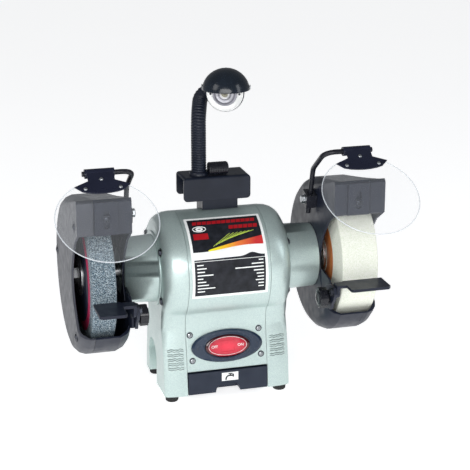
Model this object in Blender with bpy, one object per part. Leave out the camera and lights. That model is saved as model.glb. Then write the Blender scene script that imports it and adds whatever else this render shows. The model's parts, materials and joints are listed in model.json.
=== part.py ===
"""Twin-wheel bench grinder with a gooseneck lamp, built as separate named pieces.

Frame: metres, +Z up, bench surface at z = 0, operator stands on the -Y side.
The spindle runs along X through (SHAFT_Y, SHAFT_Z). Lengths below are in
millimetres and are turned into metres where the meshes are made. Points in the
(y, z) plane are measured from the spindle line unless a name says otherwise.
"""
import math

import bmesh
import bpy
from mathutils import Matrix, Vector

MM = 0.001
GAP = 0.3                    # clearance left between pieces that touch

# ---- spindle and wheels ----
SHAFT_Y = 33.64              # puts the middle of the whole footprint on y = 0
SHAFT_Z = 139.0
WHEEL_R = 75.0
BORE_R = 6.35
WHEEL_SPAN = {"left": (124.0, 149.0), "right": (119.5, 159.5)}
RIGHT_WHEEL_RECESS = 10.0
SPINDLE_R = 7.4
SPINDLE_SHOULDER_X = 114.0
SPINDLE_END_X = 159.0
FLANGE_R = 23.0

# ---- body ----
BELLY_R = 60.0
SEAM_X = 44.5
BODY_X = 69.6
BODY_Z0 = 7.0
FOOT_Z = 7.0
SIDE_HALF_DEPTH = ((7.0, 50.0), (30.0, 47.6), (76.0, 40.2), (83.0, 38.8))
WAIST_ANGLE = -46.0          # where the flared foot meets the round belly
WALL = 3.0
PANEL_TILT = math.atan2(47.6 - 40.2, 76.0 - 30.0)
NECK_R_BODY = 37.0
NECK_R_END = 35.0
NECK_END_X = 107.0

# ---- guards ----
GUARD_R = 85.0
GUARD_X0 = 107.3
GUARD_SEAM_X = 146.0
GUARD_X1 = 163.2
GUARD_WALL = 2.2
NOSE_FRONT = -78.0
NOSE_BOTTOM = 66.0
NOSE_TOP = 102.0
LOBE_ANGLE = 215.0           # lower front end of the guard's rim wall
ROOF_ANGLE = 78.0            # where the nose roof leaves the round rim

# ---- switch ----
SWITCH_Z = 58.5
BEZEL_A = 39.5
BEZEL_B = 18.0
ROCKER_A = 24.5
ROCKER_B = 12.0
ROCKER_DISH = 1.6            # the rocker ends stand this much prouder than its middle

# ---- water tray ----
TRAY_TOP = 31.6
TRAY_HALF_WIDTH = 44.0
NOTCH_HALF_WIDTH = 13.7
NOTCH_HEIGHT = 11.0

# ---- tool rests ----
REST_TOP = 132.0
KNOB_Y = -73.0
KNOB_Z = 114.0

# ---- eye shields ----
ROD_R = 2.75
ROD_X = 101.5
ROD_TOP_Y = -60.0
ROD_TOP_Z = 269.0
SHIELD_SLOPE = math.radians(55.5)     # from straight down, towards the operator
SHIELD_R = 51.0
SHIELD_MID_X = 136.0
LENS_DROP = 62.5             # middle of the clear shield, measured down its slope from the rod
LENS_SHIFT = -2.2            # both shields sit this far along X from their brackets
LEFT_ROD_DROP = 5.0          # the left rod is clamped this much lower

# ---- lamp ----
BOX_HALF_X = 36.7
BOX_Y = (-7.0, 29.0)
BOX_Z = (211.0, 237.0)
KNOB_AXIS = (0.5, 244.3)      # y from the spindle, z above the bench
HOSE_R = 8.2
HOSE_X = -16.6
HOSE_Y = 8.0
HOSE_SPLIT_Z = 284.0
HEAD_YAW = math.radians(-20.0)
HEAD = (12.0, 2.0, 325.5)
HOOD_R = 26.0
HOOD_EDGE = 3.5              # height of the hood's lower edge above its pivot line
LAMP_RISE = 1.5              # the lamp itself sits this much above the pivot line
BOSS_END = 19.5              # how far the lamp shell's rear boss reaches from its centre

for old in list(bpy.data.objects):
    bpy.data.objects.remove(old, do_unlink=True)


# ------------------------------------------------------------------ helpers
def point(x, y, z):
    """World point in metres from x, y measured from the spindle and z above the bench."""
    return Vector((x, y + SHAFT_Y, z)) * MM


def material(name, colour, roughness, metallic=0.0, alpha=1.0):
    mat = bpy.data.materials.new(name)
    mat.use_nodes = True
    shader = mat.node_tree.nodes["Principled BSDF"]
    shader.inputs["Base Color"].default_value = (*colour, 1.0)
    shader.inputs["Roughness"].default_value = roughness
    shader.inputs["Metallic"].default_value = metallic
    shader.inputs["Alpha"].default_value = alpha
    return mat


def solid(name, verts, faces, mat, smooth_angle=35.0):
    """Closed mesh object from world points (metres) and faces, facing outwards."""
    mesh = bpy.data.meshes.new(name)
    mesh.from_pydata([tuple(v) for v in verts], [], faces)
    bm = bmesh.new()
    bm.from_mesh(mesh)
    bmesh.ops.remove_doubles(bm, verts=bm.verts, dist=1e-6)
    bmesh.ops.recalc_face_normals(bm, faces=bm.faces)
    bm.to_mesh(mesh)
    bm.free()
    obj = bpy.data.objects.new(name, mesh)
    bpy.context.scene.collection.objects.link(obj)
    mesh.materials.append(mat)
    shade(mesh, smooth_angle)
    return obj


def shade(mesh, smooth_angle):
    mesh.polygons.foreach_set("use_smooth", [True] * len(mesh.polygons))
    mesh.set_sharp_from_angle(angle=math.radians(smooth_angle))


def boolean(obj, tool, operation="DIFFERENCE", smooth_angle=35.0):
    """Combine obj with tool, keep the result in obj and drop the tool."""
    modifier = obj.modifiers.new("boolean", "BOOLEAN")
    modifier.operation = operation
    modifier.solver = "EXACT"
    modifier.object = tool
    graph = bpy.context.evaluated_depsgraph_get()
    mesh = bpy.data.meshes.new_from_object(obj.evaluated_get(graph))
    obj.modifiers.clear()
    old = obj.data
    obj.data = mesh
    bpy.data.meshes.remove(old)
    mesh.name = obj.name
    bpy.data.objects.remove(tool, do_unlink=True)
    bm = bmesh.new()
    bm.from_mesh(mesh)
    bmesh.ops.dissolve_degenerate(bm, dist=1e-6, edges=bm.edges)
    bm.to_mesh(mesh)
    bm.free()
    shade(mesh, smooth_angle)
    return obj


def pivot(obj, centre):
    """Move the object's origin to a world point without moving its surface."""
    shift = centre - obj.location
    obj.data.transform(Matrix.Translation(-shift))
    obj.location = centre
    return obj


def loft(name, rings, mat, smooth_angle=35.0):
    """Solid skinned through equal-length rings of world points, with flat end caps."""
    count = len(rings[0])
    verts = [v for ring in rings for v in ring]
    faces = []
    for r in range(len(rings) - 1):
        a, b = r * count, (r + 1) * count
        for i in range(count):
            j = (i + 1) % count
            faces.append((a + i, a + j, b + j, b + i))
    faces.append(tuple(range(count)))
    faces.append(tuple(range(len(verts) - count, len(verts))))
    return solid(name, verts, faces, mat, smooth_angle)


def prism_x(name, outline, x0, x1, mat, smooth_angle=35.0):
    """Outline in the (y, z above bench) plane pushed from x0 to x1."""
    rings = [[point(x, y, z) for y, z in outline] for x in (x0, x1)]
    return loft(name, rings, mat, smooth_angle)


def prism_z(name, outline, z0, z1, mat, smooth_angle=35.0):
    """Outline in the (x, y) plane pushed from z0 to z1."""
    rings = [[point(x, y, z) for x, y in outline] for z in (z0, z1)]
    return loft(name, rings, mat, smooth_angle)


def box(name, x, y, z, mat):
    return prism_x(name, [(y[0], z[0]), (y[1], z[0]), (y[1], z[1]), (y[0], z[1])], x[0], x[1], mat)


def circle(radius, count, start=0.0):
    step = 2.0 * math.pi / count
    return [(radius * math.cos(start + i * step), radius * math.sin(start + i * step))
            for i in range(count)]


def lathe_x(name, profile, mat, count=48, y=0.0, z=SHAFT_Z, smooth_angle=35.0):
    """Solid of revolution about the X line through (y, z).

    profile is a closed loop of (x, radius) points; where it starts and ends on
    radius 0 the loop closes along the axis, otherwise it makes a ring."""
    on_axis = profile[0][1] == 0.0
    loop = profile[1:-1] if on_axis else profile
    step = 2.0 * math.pi / count
    verts = []
    for i in range(count):
        c, s = math.cos(i * step), math.sin(i * step)
        verts.extend(point(x, y + r * c, z + r * s) for x, r in loop)
    n = len(loop)
    faces = []
    for i in range(count):
        a, b = i * n, ((i + 1) % count) * n
        for k in range(n - 1):
            faces.append((a + k, a + k + 1, b + k + 1, b + k))
        if not on_axis:
            faces.append((a + n - 1, a, b, b + n - 1))
    if on_axis:
        faces.append(tuple(i * n for i in range(count)))
        faces.append(tuple(i * n + n - 1 for i in range(count)))
    return solid(name, verts, faces, mat, smooth_angle)


def ring_x(name, x, r, mat, count=48, y=0.0, z=SHAFT_Z):
    """Plain ring along X between x[0]..x[1] and radii r[0]..r[1]."""
    return lathe_x(name, [(x[0], r[0]), (x[0], r[1]), (x[1], r[1]), (x[1], r[0])], mat, count, y, z)


def disc_x(name, x, r, mat, count=48, y=0.0, z=SHAFT_Z):
    """Plain solid cylinder along X."""
    return lathe_x(name, [(x[0], 0.0), (x[0], r), (x[1], r), (x[1], 0.0)], mat, count, y, z)


def lathe_along(name, profile, centre, direction, mat, count=32):
    """Solid of revolution about any axis; profile is (distance, radius), radius 0 at both ends."""
    obj = lathe_x(name, profile, mat, count, y=-SHAFT_Y, z=0.0)
    turn = Vector((1, 0, 0)).rotation_difference(Vector(direction).normalized())
    obj.data.transform(Matrix.Translation(centre) @ turn.to_matrix().to_4x4())
    return obj


def arc(cy, cz, radius, a0, a1, steps):
    """Points of a circular arc in the (y, z) plane, angles in degrees from +y to +z."""
    points = []
    for i in range(steps + 1):
        a = math.radians(a0 + (a1 - a0) * i / steps)
        points.append((cy + radius * math.cos(a), cz + radius * math.sin(a)))
    return points


def rounded_rect(half_u, half_v, radius, steps=4):
    points = []
    for cu, cv, a0 in ((1, 1, 0), (-1, 1, 90), (-1, -1, 180), (1, -1, 270)):
        points += arc(cu * (half_u - radius), cv * (half_v - radius), radius, a0, a0 + 90, steps)
    return points


def tube(name, path, radius, mat, count=16):
    """Round bar along a polyline of world points, with flat ends."""
    rings = []
    side = None
    for i, here in enumerate(path):
        ahead = path[min(i + 1, len(path) - 1)] - path[max(i - 1, 0)]
        ahead.normalize()
        if side is None:
            side = ahead.orthogonal().normalized()
        side = (side - ahead * side.dot(ahead)).normalized()
        up = ahead.cross(side)
        step = 2.0 * math.pi / count
        rings.append([here + (side * math.cos(k * step) + up * math.sin(k * step)) * radius * MM
                      for k in range(count)])
    return loft(name, rings, mat)


def rounded_path(corners, radius, steps=6):
    """Polyline through world corner points with each inner corner rounded (radius in mm)."""
    path = [corners[0]]
    for before, here, after in zip(corners, corners[1:], corners[2:]):
        u = (before - here).normalized()
        v = (after - here).normalized()
        half = u.angle(v) / 2.0
        reach = radius * MM / math.tan(half)
        middle = here + (u + v).normalized() * (radius * MM / math.sin(half))
        start, end = here + u * reach - middle, here + v * reach - middle
        sweep = start.angle(end)
        axis = start.cross(end).normalized()
        for i in range(steps + 1):
            path.append(middle + Matrix.Rotation(sweep * i / steps, 3, axis) @ start)
    path.append(corners[-1])
    return path


# ---------------------------------------------------------------- materials
PAINT = material("silver_green_paint", (0.58, 0.66, 0.63), 0.35, 0.35)
BLACK_PAINT = material("black_paint", (0.03, 0.032, 0.04), 0.4, 0.2)
COVER_GREY = material("charcoal_paint", (0.12, 0.125, 0.14), 0.45, 0.3)
STEEL = material("bright_steel", (0.7, 0.71, 0.72), 0.28, 1.0)
LAMINATION = material("lamination_steel", (0.33, 0.34, 0.36), 0.45, 0.9)
COPPER = material("enamelled_copper", (0.62, 0.27, 0.12), 0.4, 0.85)
BLACK_PLASTIC = material("black_plastic", (0.022, 0.025, 0.035), 0.45)
BEZEL_PLASTIC = material("dark_blue_plastic", (0.05, 0.075, 0.11), 0.35)
RED_PLASTIC = material("clear_red_plastic", (0.62, 0.01, 0.04), 0.12)
RUBBER = material("black_rubber", (0.02, 0.02, 0.02), 0.8)
GREY_STONE = material("grey_abrasive", (0.36, 0.42, 0.48), 0.95)
WHITE_STONE = material("white_abrasive", (0.9, 0.9, 0.82), 0.9)
LABEL = material("label_film", (0.05, 0.03, 0.03), 0.3)
CLEAR = material("clear_polycarbonate", (0.9, 0.94, 0.93), 0.05, 0.0, 0.25)
REFLECTOR = material("white_reflector", (0.92, 0.92, 0.9), 0.3)
GLASS = material("bulb_glass", (0.75, 0.78, 0.85), 0.08, 0.2)
GREY_PLASTIC = material("grey_plastic", (0.5, 0.52, 0.55), 0.5)


# --------------------------------------------------------------------- body
def half_depth(z):
    """Half depth of the flared foot at height z above the bench."""
    for (z0, d0), (z1, d1) in zip(SIDE_HALF_DEPTH, SIDE_HALF_DEPTH[1:]):
        if z <= z1:
            return d0 + (d1 - d0) * (z - z0) / (z1 - z0)
    return SIDE_HALF_DEPTH[-1][1]


def body_outline(inset=0.0, bottom=BODY_Z0):
    """Closed outline of the body in (y, z above bench): flared foot, waist and round belly."""
    radius = BELLY_R - inset
    back = [(half_depth(z) - inset, z)
            for z in (bottom, 30.0, 50.0, 64.0, 76.0, 83.0)
            if z >= bottom]
    belly = arc(0.0, SHAFT_Z, radius, WAIST_ANGLE, 90.0, 22)
    back += belly
    front = [(-y, z) for y, z in reversed(back[:-1])]
    return back + front


def motor_housing():
    obj = prism_x("motor_housing", body_outline(), -SEAM_X, SEAM_X, PAINT)
    inner = [(y, z) for y, z in body_outline(WALL, 38.0)]
    boolean(obj, prism_x("cavity", inner, -SEAM_X - 1, SEAM_X + 1, PAINT))
    boolean(obj, box("tray_bay", (-SEAM_X - 1, SEAM_X + 1), (-60, 40), (0, 33.0), PAINT))
    hole = box("switch_hole", (-26.0, 26.0), (-52, -30), (SWITCH_Z - 13.5, SWITCH_Z + 13.5), PAINT)
    boolean(obj, hole)
    return pivot(obj, point(0, 0, SHAFT_Z))


def end_bell(side, name):
    """Cast end of the motor with its neck, hollow inside, with a bench-bolt recess."""
    full = body_outline()
    rings = []
    round_x = 50.0
    for x in (SEAM_X + GAP, round_x, 56.5, 62.0, 66.5, BODY_X):
        t = max(0.0, (x - round_x) / (BODY_X - round_x))
        curve = 1.0 - math.sqrt(1.0 - min(t * t, 1.0) * 0.98)
        ring = []
        for y, z in full:
            top = min(1.0, max(0.0, (z - 55.0) / 60.0))
            depth = curve * (4.0 + 9.0 * top)
            dy, dz = y, (z - SHAFT_Z) if z > 85.0 else 0.0
            length = math.hypot(dy, dz) or 1.0
            ring.append(point(side * x, y - depth * dy / length, z - depth * dz / length))
        rings.append(ring)
    obj = loft(name, rings, PAINT, 40.0)
    neck = [(side * 60.0, 0.0), (side * 60.0, NECK_R_BODY), (side * NECK_END_X, NECK_R_END),
            (side * NECK_END_X, 0.0)]
    boolean(obj, lathe_x("neck", neck, PAINT, 56), "UNION", 40.0)
    hollow = [(side * 40.0, 0.0), (side * 40.0, BELLY_R - WALL - 4), (side * 54.0, BELLY_R - WALL - 6),
              (side * 60.0, 36.0), (side * 66.0, 33.0), (side * 71.0, 33.0), (side * 71.0, 17.8),
              (side * 83.0, 17.8), (side * 83.0, 11.0), (side * 110.0, 11.0), (side * 110.0, 0.0)]
    boolean(obj, lathe_x("hollow", hollow, PAINT, 24), "DIFFERENCE", 40.0)
    low = box("low_hollow", sorted((side * 40.0, side * 56.0)), (-36, 36), (11, 86), PAINT)
    boolean(obj, low, "DIFFERENCE", 40.0)
    arch = [(-6, 0), (32, 0), (32, 34)] + arc(13, 34, 19, 15, 165, 5) + [(-6, 34)]
    recess = prism_x("recess", arch, *sorted((side * 59.0, side * 80.0)), PAINT)
    boolean(obj, recess, "DIFFERENCE", 40.0)
    return pivot(obj, point(side * SEAM_X, 0, SHAFT_Z))


def feet():
    for side, side_name in ((-1, "left"), (1, "right")):
        for y, end_name in ((-40.0, "front"), (40.0, "rear")):
            centre = point(side * 60.5, y, 0.0)
            profile = [(0.0, 0.0), (0.0, 6.0), (1.0, 7.0), (FOOT_Z - GAP, 7.6), (FOOT_Z - GAP, 0.0)]
            foot = lathe_along("foot_%s_%s" % (end_name, side_name), profile, centre, (0, 0, 1),
                               RUBBER, 16)
            pivot(foot, centre)


def base_plate():
    obj = box("base_plate", (-SEAM_X + GAP, SEAM_X - GAP), (-34.0, 39.5), (BODY_Z0 + GAP, 9.0), BLACK_PAINT)
    pivot(obj, point(0, 0, BODY_Z0))


def water_tray():
    """Slide-out tray: front wall with a finger arch, side and rear walls, open top."""
    w = TRAY_HALF_WIDTH
    obj = box("water_tray", (-w, w), (-49.6, 34.0), (9.0 + GAP, TRAY_TOP), BLACK_PLASTIC)
    boolean(obj, box("basin", (-w + 2.2, w - 2.2), (-34.0, 31.8), (11.5, 60), BLACK_PLASTIC))
    skirt = box("skirt", (-w, w), (-49.6, -36.5), (BODY_Z0 + GAP, 12.0), BLACK_PLASTIC)
    boolean(obj, skirt, "UNION")
    arch = [(NOTCH_HALF_WIDTH, 0.0)] + [
        (NOTCH_HALF_WIDTH * math.cos(math.radians(a)) ** 0.7,
         BODY_Z0 + NOTCH_HEIGHT * math.sin(math.radians(a))) for a in range(0, 90, 9)]
    arch += [(0.0, BODY_Z0 + NOTCH_HEIGHT)]
    arch += [(-x, z) for x, z in reversed(arch[:-1])]
    rings = [[point(x, y, z) for x, z in arch] for y in (-60.0, -37.5)]
    boolean(obj, loft("arch", rings, BLACK_PLASTIC))
    boolean(obj, box("relief", (-w + 2.2, w - 2.2), (-47.0, -36.2), (19.5, 60), BLACK_PLASTIC))
    pivot(obj, point(0, -49.6, 20.0))


# ------------------------------------------------------- motor inner pieces
def motor_core():
    core = ring_x("stator_core", (-25, 25), (30.8, BELLY_R - WALL - 0.9), LAMINATION, 32)
    pivot(core, point(0, 0, SHAFT_Z))
    for side, name in ((-1, "stator_winding_left"), (1, "stator_winding_right")):
        a, b = side * (25 + GAP), side * 41.0
        profile = [(a, 33.0), (a, 51.0), (side * 36.0, 52.0), (b, 46.0), (b, 38.0)]
        pivot(lathe_x(name, profile, COPPER, 24), point(a, 0, SHAFT_Z))
    pivot(ring_x("rotor_core", (-27, 27), (SPINDLE_R + GAP, 30.0), LAMINATION, 32), point(0, 0, SHAFT_Z))
    for side, name in ((-1, "bearing_left"), (1, "bearing_right")):
        x = sorted((side * 71.5, side * 82.5))
        pivot(ring_x(name, x, (SPINDLE_R + GAP, 17.5), STEEL, 24), point(side * 77.0, 0, SHAFT_Z))
    profile = [(-26, 0.0), (-26, 11.5), (26, 11.5), (26, 0.0)]
    pivot(lathe_x("capacitor", profile, GREY_PLASTIC, 20, y=16.0, z=54.0), point(0, 16, 54))


def spindle():
    e, s = SPINDLE_END_X, SPINDLE_SHOULDER_X
    t = BORE_R - 0.35
    profile = [(-e, 0.0), (-e, t - 1), (-e + 1, t), (-s, t), (-s, SPINDLE_R), (s, SPINDLE_R), (s, t),
               (e - 1, t), (e, t - 1), (e, 0.0)]
    pivot(lathe_x("spindle", profile, STEEL, 24), point(0, 0, SHAFT_Z))


def wheel_set(side, word, mat, recess):
    """Grinding wheel with its two clamping flanges and nut, along the spindle end."""
    inner, outer = WHEEL_SPAN[word]
    seat = outer - recess
    r = WHEEL_R
    profile = [(inner, BORE_R), (inner, r - 1.0), (inner + 1.0, r), (outer - 1.0, r), (outer, r - 1.0)]
    if recess:
        profile += [(outer, 32.0), (seat, 30.0)]
    profile += [(seat, BORE_R)]
    wheel = lathe_x("%s_wheel" % word, [(side * x, q) for x, q in profile], mat, 64)
    pivot(wheel, point(side * inner, 0, SHAFT_Z))
    flanges = (("inner", inner - GAP, inner - 5.0), ("outer", seat + GAP, seat + 4.0))
    for place, face, back in flanges:
        step = 0.8 if back > face else -0.8
        cup = [(face, 14.0), (face, FLANGE_R), (back - step * 2, FLANGE_R), (back, FLANGE_R - 3.0),
               (back, BORE_R), (face + step, BORE_R)]
        flange = lathe_x("%s_%s_flange" % (word, place), [(side * x, q) for x, q in cup], STEEL, 24)
        pivot(flange, point(side * face, 0, SHAFT_Z))
    start = seat + 4.0 + GAP
    hexagon = [(y, SHAFT_Z + z) for y, z in circle(10.4, 6)]
    nut = prism_x("%s_wheel_nut" % word, hexagon, side * start, side * (start + 5.4), STEEL)
    hole = disc_x("hole", (side * (start - 1), side * (start + 9)), BORE_R, STEEL, 24)
    pivot(boolean(nut, hole), point(side * start, 0, SHAFT_Z))


# ------------------------------------------------------------------- guards
def guard_outline(grow=0.0):
    """Star-shaped guard outline about the spindle: nose, roof, round rim, lower lobe, front cut."""
    radius = GUARD_R + grow
    nose = [(NOSE_FRONT - grow, NOSE_BOTTOM), (NOSE_FRONT - grow, NOSE_TOP - 3.0 + grow),
            (NOSE_FRONT + 3.0, NOSE_TOP + grow)]
    rim = arc(0.0, 0.0, radius, ROOF_ANGLE, LOBE_ANGLE - 360.0, 36)
    cut = [(-56.0, -36.0), (-44.0, -22.0), (-36.0, -8.0), (-33.0, 6.0), (-37.0, 22.0), (-46.0, 38.0),
           (-60.0, 55.0)]
    return nose + rim + cut


def guard_void():
    """Inside of the guard, open towards the wheel at the front."""
    inner = GUARD_R - GUARD_WALL
    nose = [(NOSE_FRONT + GUARD_WALL, 50.0), (NOSE_FRONT + GUARD_WALL, NOSE_TOP - 3.0),
            (NOSE_FRONT + 4.0, NOSE_TOP - GUARD_WALL)]
    rim = arc(0.0, 0.0, inner, ROOF_ANGLE, LOBE_ANGLE - 360.0, 36)
    return nose + rim + [(-110.0, -50.0), (-110.0, 50.0)]


def guard_rings(outline, steps, side):
    """Rings for a dished shell: each step is (x, scale about the spindle). The nose stays square."""
    rings = []
    for x, k in steps:
        ring = []
        for y, z in outline:
            dished = min(1.0, max(0.0, (y + 72.0) / 45.0)) if z > 0 else 1.0
            scale = 1.0 - (1.0 - k) * dished
            ring.append(point(side * x, y * scale, SHAFT_Z + z * scale))
        rings.append(ring)
    return rings


def inner_guard(side, word):
    outer = ((GUARD_X0, 0.83), (GUARD_X0 + 1.6, 0.9), (GUARD_X0 + 6.0, 0.962),
             (GUARD_X0 + 13.0, 1.0), (GUARD_SEAM_X, 1.0))
    wall = GUARD_X0 + GUARD_WALL
    inner = ((wall, 0.84), (wall + 2.2, 0.918), (wall + 11.0, 1.0), (GUARD_SEAM_X + 5, 1.0))
    obj = loft("%s_inner_guard" % word, guard_rings(guard_outline(), outer, side), BLACK_PAINT)
    boolean(obj, loft("void", guard_rings(guard_void(), inner, side), BLACK_PAINT))
    boolean(obj, disc_x("hole", (side * 100.0, side * 112.0), 26.0, BLACK_PAINT))
    lug = [(-40, 134), (-62, 131), (-76.8, 124), (-76.8, 102), (-60, 96), (-45, 98)]
    plate = prism_x("lug", lug, side * GUARD_X0, side * (GUARD_X0 + GUARD_WALL), BLACK_PAINT)
    boolean(obj, plate, "UNION")
    pivot(obj, point(side * GUARD_X0, 0, SHAFT_Z))


def outer_cover(side, word, mat):
    a, b = GUARD_SEAM_X + GAP, GUARD_X1
    outer = ((a, 1.0), (b - 12.0, 1.0), (b - 6.0, 0.972), (b - 1.6, 0.915), (b, 0.85))
    wall = b - GUARD_WALL
    inner = ((a - 2, 1.0), (wall - 9.5, 1.0), (wall - 2.2, 0.925), (wall, 0.86))
    obj = loft("%s_outer_cover" % word, guard_rings(guard_outline(), outer, side), mat)
    boolean(obj, loft("void", guard_rings(guard_void(), inner, side), mat))
    pivot(obj, point(side * b, 0, SHAFT_Z))


def spark_arrester(side, word):
    """Flat plate on the guard's nose, with a slot for its clamping screw."""
    y1 = NOSE_FRONT - GAP
    x0, x1 = 121.5, GUARD_SEAM_X - 1.0
    z0, z1 = SHAFT_Z + NOSE_BOTTOM - 0.6, SHAFT_Z + NOSE_TOP - 2.0
    outline = [(y1, z1), (y1, z0), (y1 - 1.0, z0), (y1 - 1.8, z0 + 0.8), (y1 - 1.8, z1)]
    obj = prism_x("%s_spark_arrester" % word, outline, side * x0, side * x1, BLACK_PAINT)
    middle = side * (x0 + x1) / 2.0
    slot = [(middle + u, SHAFT_Z + 82.0 + v) for u, v in rounded_rect(3.0, 9.5, 2.9)]
    rings = [[point(x, y, z) for x, z in slot] for y in (y1 - 5.0, y1 + 2.0)]
    boolean(obj, loft("slot", rings, BLACK_PAINT))
    pivot(obj, point(middle, y1, SHAFT_Z + 82.0))


# --------------------------------------------------------------- tool rests
def tool_rest(side, word, x_span, depth):
    """Slotted side arm, tilting rest plate and fluted clamp knob."""
    back_y = -77.5
    arm_x = (GUARD_X0 - GAP - 3.0, GUARD_X0 - GAP)
    pivot_y, pivot_z = -86.0, 124.0
    arm = [(-60.0, 102.0), (-60.0, 122.0), (-70.0, 127.0), (-82.0, 130.5), (-90.0, 129.0),
           (-93.0, 123.0), (-90.0, 116.0), (-84.0, 110.0), (-80.0, 102.0)]
    obj = prism_x("%s_rest_arm" % word, arm, side * arm_x[0], side * arm_x[1], BLACK_PAINT)
    slot = [(KNOB_Y + 2.0 + u, KNOB_Z + v) for u, v in rounded_rect(8.0, 3.4, 3.3)]
    boolean(obj, prism_x("slot", slot, side * 90.0, side * 115.0, BLACK_PAINT))
    pivot(obj, point(side * arm_x[1], KNOB_Y, KNOB_Z))

    top, thick = REST_TOP, 3.0
    x0, x1 = x_span
    ear_x = arm_x[1] + GAP
    plate = [(side * x0, back_y), (side * x1, back_y), (side * x1, back_y - depth + 3.0),
             (side * (x1 - 3.0), back_y - depth), (side * (x0 + 2.0), back_y - depth),
             (side * x0, back_y - depth + 2.0)]
    rest = prism_z("%s_tool_rest" % word, plate, top - thick, top, BLACK_PAINT)
    lug = [(pivot_y + 6.5, top - 1.0), (pivot_y + 6.5, pivot_z)] + arc(pivot_y, pivot_z, 6.5, 0, -180, 8)
    lug += [(pivot_y - 6.5, top - 1.0)]
    ear = prism_x("ear", lug, side * ear_x, side * (ear_x + 3.0), BLACK_PAINT)
    boolean(rest, ear, "UNION")
    bridge = box("bridge", sorted((side * ear_x, side * (x0 + 4.0))), (pivot_y - 6.0, pivot_y + 6.0),
                 (top - thick, top), BLACK_PAINT)
    boolean(rest, bridge, "UNION")
    pivot(rest, point(side * ear_x, pivot_y, pivot_z))

    flutes = 12
    per_flute = 2
    knob_x0, knob_x1 = arm_x[0] - GAP, arm_x[0] - 11.0
    outline = []
    for i in range(flutes * per_flute):
        r = 10.2 + 1.1 * (-1) ** i
        a = 2.0 * math.pi * i / (flutes * per_flute)
        outline.append((r * math.cos(a), r * math.sin(a)))
    steps = ((knob_x0, 0.62), (knob_x0 - 2.0, 0.62), (knob_x0 - 2.3, 1.0), (knob_x1, 1.0))
    rings = [[point(side * x, KNOB_Y + y * k, KNOB_Z + z * k) for y, z in outline] for x, k in steps]
    pivot(loft("%s_rest_knob" % word, rings, BLACK_PLASTIC), point(side * knob_x0, KNOB_Y, KNOB_Z))


# -------------------------------------------------------------- eye shields
def down_slope():
    return Vector((0.0, -math.sin(SHIELD_SLOPE), -math.cos(SHIELD_SLOPE)))


def eye_shield(side, word):
    """Bent rod in a clamp on the guard, sheet bracket rolled round the rod, clear round shield."""
    drop = LEFT_ROD_DROP if word == "left" else 0.0
    low_a, low_b = (-9.0, 190.0 - drop), (-24.0, 243.0 - drop)
    top_y, top_z = ROD_TOP_Y, ROD_TOP_Z - drop
    corners = [point(side * ROD_X, *low_a), point(side * ROD_X, *low_b),
               point(side * ROD_X, top_y, top_z), point(side * 153.5, top_y, top_z)]
    rod = tube("%s_shield_rod" % word, rounded_path(corners, 11.0, 4), ROD_R, BLACK_PAINT, 10)
    lean = Vector((0.0, low_b[0] - low_a[0], low_b[1] - low_a[1])).normalized()
    clamp_mid = point(side * ROD_X, *low_a) + lean * (17.5 + drop) * MM
    pivot(rod, clamp_mid)

    block = box("%s_rod_clamp" % word, sorted((side * (GUARD_X0 - GAP), side * 95.5)), (-8.0, 8.0),
                (-7.5, 7.5), BLACK_PAINT)
    tilt = math.atan2(low_a[0] - low_b[0], low_b[1] - low_a[1])
    block.data.transform(Matrix.Translation(point(0, 0, 0)).inverted())
    block.data.transform(Matrix.Translation(Vector((0, clamp_mid.y, clamp_mid.z)))
                         @ Matrix.Rotation(tilt, 4, "X"))
    bore = tube("bore", [clamp_mid - lean * 0.03, clamp_mid + lean * 0.03], ROD_R + 2 * GAP, BLACK_PAINT, 10)
    pivot(boolean(block, bore), clamp_mid)

    axis = point(side * SHIELD_MID_X, top_y, top_z)
    down = down_slope()
    normal = Vector((0.0, -down.z, down.y)) * -1.0
    across = Vector((1.0, 0.0, 0.0))

    def sheet_point(u, v, w):
        return axis + (across * u + down * v + normal * w) * MM

    tip, tip_v, low_v = 28.0, 19.5, 29.5
    sheet = [(-13.5, 3.0), (-13.5, 13.0), (-tip, tip_v)]
    for i in range(1, 8):
        t = -1.0 + i / 4.0
        sheet.append((tip * t, tip_v + (low_v - tip_v) * math.sqrt(1.0 - t * t)))
    sheet += [(tip, tip_v), (13.5, 13.0), (13.5, 3.0)]
    face, back = ROD_R + GAP + 1.2, ROD_R + GAP
    rings = [[sheet_point(u, v, w) for u, v in sheet] for w in (back, face)]
    bracket = loft("%s_shield_bracket" % word, rings, BLACK_PAINT)
    roll = ring_x("roll", (-15.0, 15.0), (ROD_R + GAP, ROD_R + GAP + 1.8), BLACK_PAINT, 16, y=-SHAFT_Y, z=0.0)
    roll.data.transform(Matrix.Translation(axis))
    boolean(bracket, roll, "UNION")
    clean = tube("clean", [axis - across * 0.03, axis + across * 0.03], ROD_R + GAP, BLACK_PAINT, 16)
    boolean(bracket, clean)
    pivot(bracket, axis)

    rings = []
    for w in (back - GAP - 2.0, back - GAP):
        rings.append([sheet_point(u + LENS_SHIFT, LENS_DROP + v, w) for u, v in circle(SHIELD_R, 44)])
    lens = loft("%s_eye_shield" % word, rings, CLEAR)
    pivot(lens, axis)


# ------------------------------------------------------------------- switch
def panel_point(u, v, w):
    """Point on the sloping front panel: u right, v up the panel, w out of it."""
    depth = half_depth(SWITCH_Z)
    up = Vector((0.0, math.sin(PANEL_TILT), math.cos(PANEL_TILT)))
    out = Vector((0.0, -math.cos(PANEL_TILT), math.sin(PANEL_TILT)))
    return point(0, -depth, SWITCH_Z) + (Vector((1, 0, 0)) * u + up * v + out * w) * MM


def panel_loft(name, rings, mat):
    return loft(name, [[panel_point(u, v, w) for u, v, w in ring] for ring in rings], mat)


def ellipse(a, b, count=36):
    step = 2.0 * math.pi / count
    return [(a * math.cos(i * step), b * math.sin(i * step)) for i in range(count)]


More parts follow.
